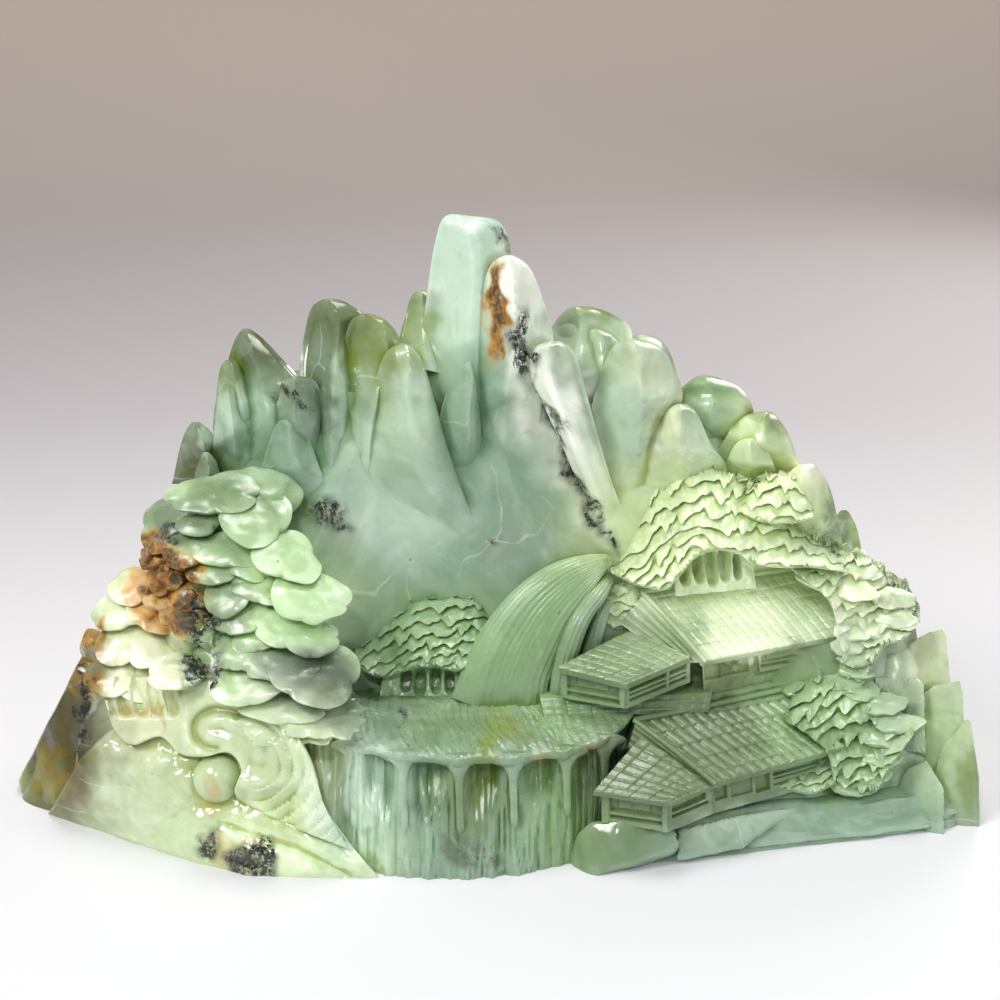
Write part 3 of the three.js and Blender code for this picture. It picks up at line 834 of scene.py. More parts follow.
SHADES: tuple[tuple[Colour, Zone], ...] = (
    # The cliff and the central peaks
    (MINT, Zone(-52, -12, 34, 24, 0.75)),
    (GREY_GREEN, Zone(-20, -40, 50, 20, 0.6)),
    (SEA_GREEN, Zone(-74, -50, 18, 22, 0.6)),
    (GREY_GREEN, Zone(26, -12, 36, 42, 0.9)),
    (SLATE, Zone(18, -14, 26, 20, 0.25)),
    (DEEP_GREEN, Zone(44, -34, 16, 14, 0.6)),
    (MINT, Zone(-18, 118, 26, 46, 0.95)),
    (MINT, Zone(-26, 78, 20, 16, 0.7)),
    (GREY_GREEN, Zone(-18, 62, 14, 12, 0.7)),
    (PALE_GREEN, Zone(-48, 46, 22, 38, 0.95)),
    (GREY_GREEN, Zone(-12, 34, 20, 28, 0.8)),
    (GREY_GREEN, Zone(6, 60, 16, 36, 0.9)),
    (MILK, Zone(12, 102, 14, 28, 0.95)),
    # Left peaks
    (OLIVE, Zone(-64, 74, 15, 28, 0.95)),
    (PALE_GREEN, Zone(-70, 34, 12, 26, 0.6)),
    (DARK_OLIVE, Zone(-84, 88, 17, 22, 0.85)),
    (DEEP_GREEN, Zone(-84, 58, 16, 26, 0.8)),
    (MINT, Zone(-80, 50, 5, 22, 0.5)),
    (SMOKE, Zone(-101, 50, 13, 18, 0.85)),
    (GREY_GREEN, Zone(-103, 20, 14, 26, 0.8)),
    (DARK_OLIVE, Zone(-120, 72, 20, 22, 0.8)),
    (GREY_GREEN, Zone(-116, 44, 18, 24, 0.85)),
    (OLIVE, Zone(-136, 60, 8, 12, 0.6)),
    (PALE_GREEN, Zone(-138, 44, 7, 14, 0.9)),
    (GREY_GREEN, Zone(-134, 24, 12, 18, 0.8)),
    (DARK_OLIVE, Zone(-152, 24, 11, 20, 0.85)),
    (MINT, Zone(-146, 34, 6, 10, 0.6)),
    (MINT, Zone(-129, 48, 8, 14, 0.5)),
    (DEEP_GREEN, Zone(-107, 50, 6, 12, 0.7)),
    # Darker green in the gap right of the left pine's lobes: painted shade
    (MOSS, Zone(-80, -20, 8, 12, 0.5)),
    (OLIVE, Zone(-41, 88, 9, 22, 0.7)),
    # Right peaks
    (MILK, Zone(26, 50, 18, 36, 1.0, 22)),
    (MILK, Zone(46, 12, 13, 34, 0.95, 24)),
    (SAGE, Zone(48, 84, 22, 22, 0.95)),
    (OLIVE, Zone(50, 94, 18, 8, 0.6)),
    (PALE_GREEN, Zone(70, 44, 18, 36, 0.75)),
    (CREAM, Zone(70, 66, 14, 12, 0.6)),
    (CREAM, Zone(91, 30, 15, 28, 0.9)),
    (SEA_GREEN, Zone(106, 52, 17, 20, 0.9)),
    (MINT, Zone(106, 28, 12, 16, 0.6)),
    (YELLOW_GREEN, Zone(130, 34, 18, 20, 0.9)),
    (OLIVE, Zone(134, 42, 12, 8, 0.7)),
    (PEARL, Zone(154, 0, 15, 26, 1.0)),
    (DARK_OLIVE, Zone(172, -22, 9, 24, 0.9)),
    (DARK_OLIVE, Zone(196, -54, 12, 24, 0.7)),
    # Left pine
    (FERN, Zone(-138, -4, 34, 16, 1.0)),
    (MOSS, Zone(-124, -10, 14, 12, 0.5)),
    (DEEP_GREEN, Zone(-166, -12, 17, 14, 0.8)),
    (LEAF_GREEN, Zone(-112, -14, 28, 14, 0.5)),
    (SEA_GREEN, Zone(-130, -26, 22, 10, 0.6)),
    (LEAF_GREEN, Zone(-94, -44, 26, 20, 0.95)),
    (LEAF_GREEN, Zone(-96, -66, 26, 14, 0.8)),
    (DEEP_GREEN, Zone(-138, -52, 14, 20, 0.8)),
    (CREAM, Zone(-184, -58, 22, 18, 1.0)),
    (CREAM, Zone(-180, -82, 30, 14, 1.0)),
    (AMBER, Zone(-171, -34, 9, 9, 0.9)),
    (AMBER, Zone(-181, -44, 8, 7, 0.85)),
    (AMBER, Zone(-172, -56, 7, 9, 0.8)),
    (LEMON, Zone(-197, -58, 7, 8, 0.5)),
    (AMBER, Zone(-198, -94, 8, 7, 0.5)),
    (SEA_GREEN, Zone(-150, -74, 9, 8, 0.9)),
    (ASH, Zone(-98, -86, 32, 13, 0.95)),
    (PALE_GREEN, Zone(-104, -108, 36, 12, 0.9)),
    (SLATE, Zone(-92, -91, 26, 13, 1.0)),
    (ASH, Zone(-108, -82, 20, 10, 0.5)),
    # Cloud, foot and slab
    (CREAM, Zone(-170, -112, 26, 14, 0.8)),
    (IVORY, Zone(-120, -132, 36, 34, 0.9)),
    (LEMON, Zone(-92, -142, 12, 30, 0.8)),
    (IVORY, Zone(-170, -148, 40, 22, 0.9)),
    (LEMON, Zone(-108, -172, 50, 20, 0.9)),
    (PEARL, Zone(-106, -166, 34, 16, 0.3)),
    (TAWNY, Zone(-222, -118, 28, 52, 1.0)),
    (BROWN, Zone(-212, -104, 8, 30, 0.9, -12)),
    (BROWN, Zone(-228, -126, 5, 22, 0.8, -16)),
    (OLIVE, Zone(-232, -140, 12, 10, 0.7)),
    # Curtain and pool
    (MINT, Zone(-74, -146, 22, 34, 0.9)),
    (CREAM, Zone(-86, -128, 10, 24, 0.6)),
    (GREY_GREEN, Zone(-30, -156, 26, 30, 0.8)),
    (MOSS, Zone(-12, -150, 24, 20, 0.8)),
    (SEA_GREEN, Zone(36, -156, 26, 34, 0.9)),
    (DEEP_GREEN, Zone(-56, -108, 28, 16, 0.7)),
    (GREY_GREEN, Zone(-50, -106, 12, 8, 0.8)),
    (MOSS, Zone(4, -112, 46, 14, 0.85)),
    (OLIVE, Zone(0, -118, 7, 12, 0.8, -20)),
    (OLIVE, Zone(-8, -140, 5, 16, 0.6, -20)),
    (SEA_GREEN, Zone(44, -104, 30, 12, 0.7)),
    # Fall and centre pine
    (SEA_GREEN, Zone(8, -72, 28, 28, 0.9, 30)),
    (SEA_GREEN, Zone(34, -42, 24, 16, 0.9, 30)),
    (SEA_GREEN, Zone(-38, -72, 36, 28, 0.95)),
    # Halls
    (SUNLIT, Zone(126, -56, 54, 27, 1.0, 12)),
    (SEA_GREEN, Zone(88, -66, 16, 12, 0.7)),
    (MOSS, Zone(60, -78, 38, 20, 0.7)),
    (OLIVE, Zone(140, -84, 44, 9, 0.6, 12)),
    (FOREST, Zone(104, -120, 52, 26, 1.0, 12)),
    (SEA_GREEN, Zone(146, -104, 22, 14, 0.9, -30)),
    (FOREST, Zone(70, -138, 34, 20, 1.0)),
    # Right pines, shards and base rock
    (YELLOW_GREEN, Zone(92, -14, 52, 34, 1.0)),
    (YELLOW_GREEN, Zone(144, -16, 36, 26, 1.0)),
    (PALE_GREEN, Zone(180, -52, 30, 34, 0.7)),
    (YELLOW_GREEN, Zone(176, -44, 26, 20, 0.8)),
    (PEARL, Zone(184, -56, 20, 22, 0.3)),
    (SEA_GREEN, Zone(172, -112, 34, 32, 0.95)),
    (LEAF_GREEN, Zone(166, -102, 18, 12, 0.5)),
    (SAGE, Zone(202, -104, 16, 30, 0.8)),
    (PEARL, Zone(214, -80, 10, 14, 0.5)),
    (IVORY, Zone(219, -70, 7, 9, 0.6)),
    (OLIVE, Zone(218, -82, 8, 18, 0.5)),
    (PEARL, Zone(214, -78, 12, 16, 0.35)),
    (YELLOW_GREEN, Zone(226, -122, 18, 32, 0.6)),
    (OLIVE, Zone(238, -142, 8, 20, 0.7)),
    (GREY_GREEN, Zone(140, -172, 100, 18, 0.8, 8)),
    (MOSS, Zone(56, -170, 24, 22, 0.7)),
    (PALE_GREEN, Zone(116, -160, 26, 8, 0.5, 14)),
)

STAINS: dict[Mark, tuple[Zone, ...]] = {
    Mark.RUST: (
        Zone(-163, -36, 14, 12, 1.0),
        Zone(-160, -56, 15, 14, 1.0),
        Zone(-176, -44, 9, 9, 0.5),
        Zone(-178, -26, 11, 9, 0.9),
        Zone(-1, 92, 5, 25, 0.95, -6),
        Zone(-207, -92, 9, 14, 0.6),
        Zone(-206, -68, 6, 8, 0.75),
        Zone(-222, -136, 12, 14, 0.3),
        Zone(-180, -106, 9, 4, 0.45),
        Zone(-166, -108, 3, 10, 0.5),
        Zone(-138, -174, 16, 11, 0.5, -30),
        Zone(-146, -150, 9, 5, 0.45),
        Zone(21, -131, 7, 5, 0.4),
        Zone(42, -121, 6, 5, 0.4),
    ),
    Mark.DARK: (
        Zone(-148, -62, 13, 9, 1.0, -20),
        Zone(-166, -20, 10, 7, 0.9),
        Zone(-170, -10, 8, 12, 0.5),
        Zone(11, 80, 9, 17, 1.0),
        Zone(14, 66, 6, 10, 0.7),
        Zone(1, 130, 3.5, 8, 0.8, 30),
        Zone(33, 22, 5, 44, 0.95, 26),
        Zone(46, -6, 4, 26, 0.95, 27),
        Zone(24, 40, 4, 24, 0.6, 26),
        Zone(-84, -10, 14, 7, 1.0, -8),
        # A small black spot where the cliff has a small hole: painted shade, the hole itself is not cut
        Zone(3, -17, 4, 2.5, 1.0),
        Zone(-104, 50, 3.5, 15, 0.9, 62),
        Zone(-84, 84, 9, 18, 0.5, -20),
        Zone(-118, 72, 14, 16, 0.45),
        Zone(72, 36, 7, 14, 0.5),
        Zone(94, 22, 8, 12, 0.35),
        Zone(-226, -122, 5, 26, 0.8, -18),
        Zone(-210, -108, 6, 30, 0.95, -8),
        Zone(-146, -172, 10, 13, 1.0, -10),
        Zone(-124, -180, 13, 8, 1.0, -30),
        Zone(-14, -176, 22, 11, 0.75, -30),
        Zone(-34, -158, 14, 8, 0.6, -20),
        Zone(-78, -150, 4, 12, 0.5),
        Zone(-62, -160, 3, 9, 0.5),
        Zone(-52, -108, 3.5, 3.5, 1.0),
        Zone(-76, -96, 13, 7, 0.55),
        Zone(-82, -98, 4, 4, 0.9),
        Zone(-148, -84, 11, 9, 1.0),
        Zone(-166, -64, 5, 14, 0.7),
        Zone(170, -8, 5, 14, 0.7),
        Zone(196, -44, 8, 10, 0.6),
        Zone(68, -86, 4, 3, 0.6),
    ),
    Mark.CHALK: (
        Zone(14, 104, 9, 22, 0.8),
        Zone(74, 50, 9, 22, 0.5),
    ),
}


def paint(mesh: bpy.types.Mesh, base: Colour) -> None:
    """Writes the stone's colour, some painted shade and its stains into a mesh, as point attributes tint and
    stain.

    Each zone of colour is laid over the ones before it by its share. The border of every oval is pushed in
    and out by a soft unevenness, so that none of them reads as an oval. A stain takes the greatest share of
    its kind.

    Args:
        mesh: the finished mesh.
        base: the colour where there is no zone.
    """
    points, _, _ = read_surface(mesh)
    across, up = BOARD.drawn(points)
    across = across + 5 * swell(points, 30, 51) + 1.6 * swell(points, 9, 52)
    up = up + 5 * swell(points, 30, 53) + 1.6 * swell(points, 9, 54)
    tint = np.ones((len(points), 4))
    tint[:, :3] = base
    for colour, zone in SHADES:
        share = zone.share(across, up, TINT_SOFTNESS)[:, None]
        tint[:, :3] = tint[:, :3] * (1 - share) + np.array(colour) * share
    marks = np.zeros((len(points), 4))
    marks[:, 3] = 1
    for mark, zones in STAINS.items():
        for zone in zones:
            share = zone.share(across, up, STAIN_SOFTNESS)
            marks[:, mark.value] = np.maximum(marks[:, mark.value], share)
    for name, values in (("tint", tint), ("stain", marks)):
        layer = mesh.attributes.new(name, "FLOAT_COLOR", "POINT")
        layer.data.foreach_set("color", values.astype(np.float32).ravel())


def hollowness(points: Array, normals: Array, areas: Array, reach: float) -> Array:
    """How deep each point lies in the relief: towards 1 in a groove, 0 on a plane, towards -1 on an edge.

    Space is parted into cells as wide as the reach. Each point is shared out among the eight cell middles
    round it, weighed by area, and the cells are blurred with their neighbours. The middle of the surface that
    is read back there is set against the point along its normal.

    Args:
        points: places on the surface.
        normals: the outward direction at each.
        areas: the area each stands for.
        reach: the width of a cell.

    Returns:
        One number for each point.
    """
    place = (points - points.min(0)) / reach + 3
    cell = np.floor(place).astype(int)
    part = place - cell
    shape = tuple(cell.max(0) + 5)
    values = np.stack([*points.T, np.ones(len(points))])
    corners = []
    for corner in np.ndindex(2, 2, 2):
        share = np.prod(np.where(corner, part, 1 - part), axis=1)
        corners.append((np.ravel_multi_index((cell + corner).T, shape), share))
    grid = np.zeros((4, int(np.prod(shape))))
    for flat, share in corners:
        grid += np.stack([np.bincount(flat, areas * share * v, minlength=grid.shape[1]) for v in values])
    grid = grid.reshape(4, *shape)
    for axis in (1, 2, 3):
        grid = grid + np.roll(grid, 1, axis) + np.roll(grid, -1, axis)
    grid = grid.reshape(4, -1)
    near = sum(grid[:, flat] * share for flat, share in corners)
    middle = (near[:3] / near[3]).T
    return np.clip(((middle - points) * normals).sum(1) / reach * 2.4, -1, 1)


def read_surface(mesh: bpy.types.Mesh) -> tuple[Array, Array, Array]:
    """A mesh's points in millimetres, their outward directions, and the area of surface round each.

    Args:
        mesh: the finished mesh.

    Returns:
        Points, directions and areas in square millimetres.
    """
    count = len(mesh.vertices)
    points, normals = np.zeros(count * 3, np.float32), np.zeros(count * 3, np.float32)
    mesh.vertices.foreach_get("co", points)
    mesh.vertices.foreach_get("normal", normals)
    area = np.zeros(len(mesh.polygons), np.float32)
    sides = np.zeros(len(mesh.polygons), np.int32)
    mesh.polygons.foreach_get("area", area)
    mesh.polygons.foreach_get("loop_total", sides)
    corner = np.zeros(len(mesh.loops), np.int32)
    mesh.loops.foreach_get("vertex_index", corner)
    around = np.bincount(corner, np.repeat(area / sides, sides) * 1e6, minlength=count) + 1e-6
    return points.reshape(-1, 3).astype(float) / METRES, normals.reshape(-1, 3).astype(float), around


def paint_relief(meshes: Sequence[bpy.types.Mesh]) -> None:
    """Writes how deep each point lies into the meshes, as the attribute relief.

    Its red is read over 2.4 mm and its green over 7 mm, from all the pieces together; 0.5 is level. The
    finishes paint lighter edges and darker, greener grooves from it: painted light and shade.

    Args:
        meshes: the meshes of all the pieces.
    """
    parts = [read_surface(mesh) for mesh in meshes]
    points, normals, areas = (np.concatenate([part[k] for part in parts]) for k in range(3))
    fine, broad = hollowness(points, normals, areas, 2.4), hollowness(points, normals, areas, 7.0)
    level = np.stack([fine, broad, 0 * fine, 0 * fine + 1], -1) * 0.5 + 0.5
    start = 0
    for mesh in meshes:
        own = level[start : start + len(mesh.vertices)]
        start += len(own)
        layer = mesh.attributes.new("relief", "FLOAT_COLOR", "POINT")
        layer.data.foreach_set("color", own.astype(np.float32).ravel())


@dataclass(frozen=True)
class Polish:
    """A finish of the stone: how it takes light, how much its own pattern shows, and how much light and shade
    are painted on its thin edges and in its grooves.
    """

    name: str
    roughness: float = 0.16
    translucence: float = 0.16
    milk: float = 0.22
    veins: float = 0.12
    specks: float = 0.5
    ripple: float = 0.08
    grain: float = 0.05
    # How strongly thin edges are painted lighter: painted rim light
    rim_light: float = 0.35
    # How strongly grooves are painted darker and greener: painted shade
    depths: float = 0.75
    wet: float = 0.35
    sparkle: float = 0.08
    gloss: float = 0.45

    def material(self) -> bpy.types.Material:
        """The finish as a node material that reads tint, stain, relief and Object coordinates."""
        made = bpy.data.materials.new(self.name)
        made.use_nodes = True
        tree = made.node_tree
        tree.nodes.clear()
        add = Wiring(tree)
        place = add.node("ShaderNodeTexCoord").outputs["Object"]
        tint = add.node("ShaderNodeAttribute", attribute_name="tint").outputs["Color"]
        cloud = add.noise(place, 26, 5, 0.6, 1.2)
        drift = add.noise(place, 70, 5, 0.65, 0.6)
        fine = add.noise(place, 260, 5, 0.7, 0.4)
        colour = self.clouded(add, tint, cloud, drift)
        colour = self.threaded(add, colour, place, cloud, drift)
        # Painted light and shade: thin edges lightened, grooves darkened and greened, after the attribute
        # relief
        colour = self.carved(add, colour)
        colour, rust = self.stained(add, colour, place, drift, fine)

        rough = add.node("ShaderNodeMapRange", Value=drift)
        rough.inputs["From Min"].default_value = 0.3
        rough.inputs["From Max"].default_value = 0.7
        rough.inputs["To Min"].default_value = self.roughness * 0.7
        rough.inputs["To Max"].default_value = self.roughness * 1.5
        rough = add.sum(rough.outputs[0], add.times(rust, 0.2))
        wave = add.noise(place, 95, 2, 0.5, 0.0)
        bump = add.node("ShaderNodeBump", Strength=self.ripple, Distance=0.004, Height=wave)
        grit = add.node("ShaderNodeBump", Strength=self.grain, Distance=0.0008, Height=fine)
        tree.links.new(bump.outputs[0], grit.inputs["Normal"])

        shader = add.node("ShaderNodeBsdfPrincipled")
        shader.inputs["IOR"].default_value = 1.61
        shader.inputs["Specular IOR Level"].default_value = self.gloss
        shader.inputs["Subsurface Weight"].default_value = self.translucence
        shader.inputs["Subsurface Radius"].default_value = (0.8, 1.0, 0.45)
        shader.inputs["Subsurface Scale"].default_value = 0.005
        shader.inputs["Coat Weight"].default_value = self.wet
        shader.inputs["Coat Roughness"].default_value = 0.06
        glint = add.noise(place, 480, 2, 0.5, 0.0)
        glitter = add.node("ShaderNodeBump", Strength=self.sparkle, Distance=0.0012, Height=glint)
        tree.links.new(grit.outputs[0], glitter.inputs["Normal"])
        tree.links.new(glitter.outputs[0], shader.inputs["Coat Normal"])
        tree.links.new(colour, shader.inputs["Base Color"])
        tree.links.new(rough, shader.inputs["Roughness"])
        tree.links.new(grit.outputs[0], shader.inputs["Normal"])
        out = add.node("ShaderNodeOutputMaterial")
        tree.links.new(shader.outputs[0], out.inputs["Surface"])
        return made

    def clouded(self, add: "Wiring", colour: Socket, cloud: Socket, drift: Socket) -> Socket:
        """The stone's milky and deep clouds, laid over its natural colour.

        Args:
            add: the wiring.
            colour: the colour so far.
            cloud: the broad noise.
            drift: the finer noise.

        Returns:
            The colour with its clouds.
        """
        lit = add.node("ShaderNodeHueSaturation", Saturation=0.62, Value=1.25, Color=colour).outputs[0]
        deep = add.node("ShaderNodeHueSaturation", Saturation=1.25, Value=0.74, Color=colour).outputs[0]
        colour = add.mix(add.between(cloud, 0.52, 0.66, self.milk * 2.2), colour, lit)
        colour = add.mix(add.between(cloud, 0.48, 0.34, self.milk * 2.2), colour, deep)
        return add.mix(add.between(drift, 0.56, 0.70, self.milk * 1.3), colour, lit)

    def threaded(
        self, add: "Wiring", colour: Socket, place: Socket, cloud: Socket, drift: Socket
    ) -> Socket:
        """Fine white threads along the bent borders of large cells, and small dark specks.

        Args:
            add: the wiring.
            colour: the colour so far.
            place: where on the stone.
            cloud: the noise that parts the threads.
            drift: the noise that gathers the specks.

        Returns:
            The colour with threads and specks.
        """
        bent = add.node("ShaderNodeVectorMath", operation="SCALE", Scale=0.05)
        add.tree.links.new(add.noise_colour(place, 18, 3), bent.inputs[0])
        moved = add.node("ShaderNodeVectorMath", operation="ADD")
        add.tree.links.new(place, moved.inputs[0])
        add.tree.links.new(bent.outputs[0], moved.inputs[1])
        crack = add.node("ShaderNodeTexVoronoi", feature="DISTANCE_TO_EDGE", Scale=11.0)
        add.feed(crack.inputs["Vector"], moved.outputs[0])
        thread = add.between(crack.outputs["Distance"], 0.010, 0.001, self.veins)
        thread = add.times(thread, add.between(cloud, 0.44, 0.62, 1.0))
        colour = add.mix(thread, colour, THREAD_WHITE)
        seed = add.node("ShaderNodeTexVoronoi", feature="F1", Vector=place, Scale=125.0)
        dot = add.between(seed.outputs["Distance"], 0.16, 0.07, self.specks)
        dot = add.times(dot, add.between(drift, 0.58, 0.64, 1.0))
        return add.mix(dot, colour, SPECK_BLACK)

    def carved(self, add: "Wiring", colour: Socket) -> Socket:
        """Painted light and shade after the attribute relief: thin edges lighter, grooves darker and greener.

        Args:
            add: the wiring.
            colour: the colour so far.

        Returns:
            The colour with painted rim light on thin edges and painted shade in grooves.
        """
        relief = add.node("ShaderNodeAttribute", attribute_name="relief").outputs["Color"]
        parts = add.node("ShaderNodeSeparateColor", Color=relief).outputs
        # A lighter, paler copy for painted rim light, and a darker, greener copy for painted shade in grooves
        rim = add.node("ShaderNodeHueSaturation", Saturation=0.80, Value=1.28, Color=colour).outputs[0]
        groove_shade = add.node("ShaderNodeHueSaturation", Hue=0.475, Saturation=1.8, Value=0.62, Color=colour)
        groove_shade = groove_shade.outputs[0]
        colour = add.mix(add.between(parts["Red"], 0.42, 0.12, self.rim_light), colour, rim)
        colour = add.mix(add.between(parts["Green"], 0.56, 0.95, self.depths * 0.8), colour, groove_shade)
        return add.mix(add.between(parts["Red"], 0.55, 0.92, self.depths), colour, groove_shade)

    def stained(
        self, add: "Wiring", colour: Socket, place: Socket, drift: Socket, fine: Socket
    ) -> tuple[Socket, Socket]:
        """Chalk, rust and dark mineral after the attribute stain: a soft wash, then a broken core of specks.
        The dark also paints the shade of a small hole in the cliff.

        Args:
            add: the wiring.
            colour: the colour so far.
            place: where on the stone.
            drift: the noise that breaks the washes.
            fine: the noise that breaks the cores.

        Returns:
            The stained colour, and how much rust there is.
        """
        stain = add.node("ShaderNodeAttribute", attribute_name="stain").outputs["Color"]
        parts = add.node("ShaderNodeSeparateColor", Color=stain).outputs
        speck = add.noise(place, 620, 3, 0.7, 0.3)
        streak = add.noise(place, 130, 5, 0.68, 1.8)
        chalk = add.over(parts["Blue"], drift, 0.62)
        colour = add.mix(add.times(chalk, 0.6), colour, CHALK_WHITE)
        wash = add.times(add.between(parts["Red"], 0.06, 0.9, 0.9), add.between(drift, 0.32, 0.50, 1.0))
        colour = add.mix(wash, colour, RUST_WASH)
        rust = add.between(add.times(parts["Red"], add.sum(fine, 0.35)), 0.40, 0.92, 1.0)
        golden = add.mix(add.between(speck, 0.40, 0.62, 0.8), RUST_LIGHT, RUST_RED)
        brown = add.mix(add.between(streak, 0.42, 0.50, 1.0), golden, RUST_BROWN)
        colour = add.mix(add.times(rust, 0.95), colour, brown)
        smoke = add.times(add.between(parts["Green"], 0.10, 0.95, 0.75), add.between(drift, 0.36, 0.60, 1.0))
        colour = add.mix(smoke, colour, MINERAL_AND_HOLE_SHADE_WASH)
        dark = add.over(parts["Green"], fine, 0.86)
        grains = add.sum(add.times(speck, 0.4), add.times(streak, 0.6))
        dark = add.times(dark, add.between(grains, 0.42, 0.50, 1.0))
        return add.mix(dark, colour, MINERAL_AND_HOLE_SHADE_BLACK), rust


@dataclass
class Wiring:
    """Short ways to add and join the nodes of one material."""

    tree: bpy.types.NodeTree

    def node(self, kind: str, **settings: object) -> bpy.types.Node:
        """Adds a node.

        Args:
            kind: the type of node.
            settings: values of its own, values of its inputs, or outputs that feed them.

        Returns:
            The node.
        """
        made = self.tree.nodes.new(kind)
        for name, value in settings.items():
            if name in made.inputs:
                self.feed(made.inputs[name], value)
            else:
                setattr(made, name, value)
        return made

    def feed(self, socket: Socket, value: object) -> None:
        """Joins an output to an input, or else sets the input's own value."""
        if isinstance(value, Socket):
            self.tree.links.new(value, socket)
        else:
            socket.default_value = value

    def noise(self, place: Socket, scale: float, detail: float, rough: float, bend: float) -> Socket:
        """A fractal noise.

        Args:
            place: where it is read.
            scale: how many of its broadest waves go into a metre.
            detail: how many finer waves are added.
            rough: how strong the finer ones are.
            bend: how far the pattern is bent by itself.

        Returns:
            A value between 0 and 1.
        """
        made = self.node("ShaderNodeTexNoise", Vector=place, Scale=scale, Detail=detail, Roughness=rough)
        made.inputs["Distortion"].default_value = bend
        return made.outputs[0]

    def noise_colour(self, place: Socket, scale: float, detail: float) -> Socket:
        """A noise with three separate values, for bending a pattern."""
        return self.node("ShaderNodeTexNoise", Vector=place, Scale=scale, Detail=detail).outputs["Color"]

    def between(self, value: Socket, low: float, high: float, most: float) -> Socket:
        """Goes smoothly from 0 at low to most at high.

        Args:
            value: what is read.
            low: where it starts.
            high: where it ends.
            most: how far it goes.

        Returns:
            The eased value.
        """
        made = self.node("ShaderNodeMapRange", interpolation_type="SMOOTHSTEP", Value=value)
        made.inputs["From Min"].default_value = low
        made.inputs["From Max"].default_value = high
        made.inputs["To Max"].default_value = most
        return made.outputs[0]

    def times(self, a: Socket, b: Socket | float) -> Socket:
        """The product of two values."""
        return self.maths("MULTIPLY", a, b)

    def sum(self, a: Socket, b: Socket | float) -> Socket:
        """The sum of two values."""
        return self.maths("ADD", a, b)

    def maths(self, operation: str, a: Socket, b: Socket | float) -> Socket:
        """One operation on two values.

        Args:
            operation: which one.
            a: the first value.
            b: the second value.

        Returns:
            The outcome.
        """
        made = self.node("ShaderNodeMath", operation=operation)
        self.feed(made.inputs[0], a)
        self.feed(made.inputs[1], b)
        return made.outputs[0]

    def over(self, share: Socket, noise: Socket, edge: float) -> Socket:
        """Where share plus noise passes an edge: a patch with a broken border."""
        return self.between(self.times(share, self.sum(noise, 0.35)), edge * 0.72, edge, 1.0)

    def mix(self, share: Socket, a: Socket | Sequence[float], b: Socket | Sequence[float]) -> Socket:
        """Colour a turning into colour b by a share.

        Args:
            share: how much of b there is, held between 0 and 1.
            a: the first colour.
            b: the second colour.

        Returns:
            The mixed colour.
        """
        made = self.node("ShaderNodeMix", data_type="RGBA")
        made.clamp_factor = True
        for socket, value in ((made.inputs[0], share), (made.inputs[6], a), (made.inputs[7], b)):
            self.feed(socket, value)
        return made.outputs[2]


@dataclass
class SubAssembly:
    """A part of the carving that is built, painted and dressed as one piece."""

    name: str
    finish: bpy.types.Material
    base: Colour = PALE_GREEN

    def forms(self) -> list[Form]:
        """The closed forms that make up the piece."""
        raise NotImplementedError

    def hollows(self) -> list[Form]:
        """The closed forms that are taken out of the first form."""
        return []

    def build(self) -> bpy.types.Object:
        """Carves the piece, paints it, gives it its finish and sets it on the stone's own body."""
        piece = carve(self.name, self.forms(), self.hollows())
        paint(piece.data, self.base)
        piece.data.materials.clear()
        piece.data.materials.append(self.finish)
        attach(piece, "root")
        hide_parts(NODE)
        return piece


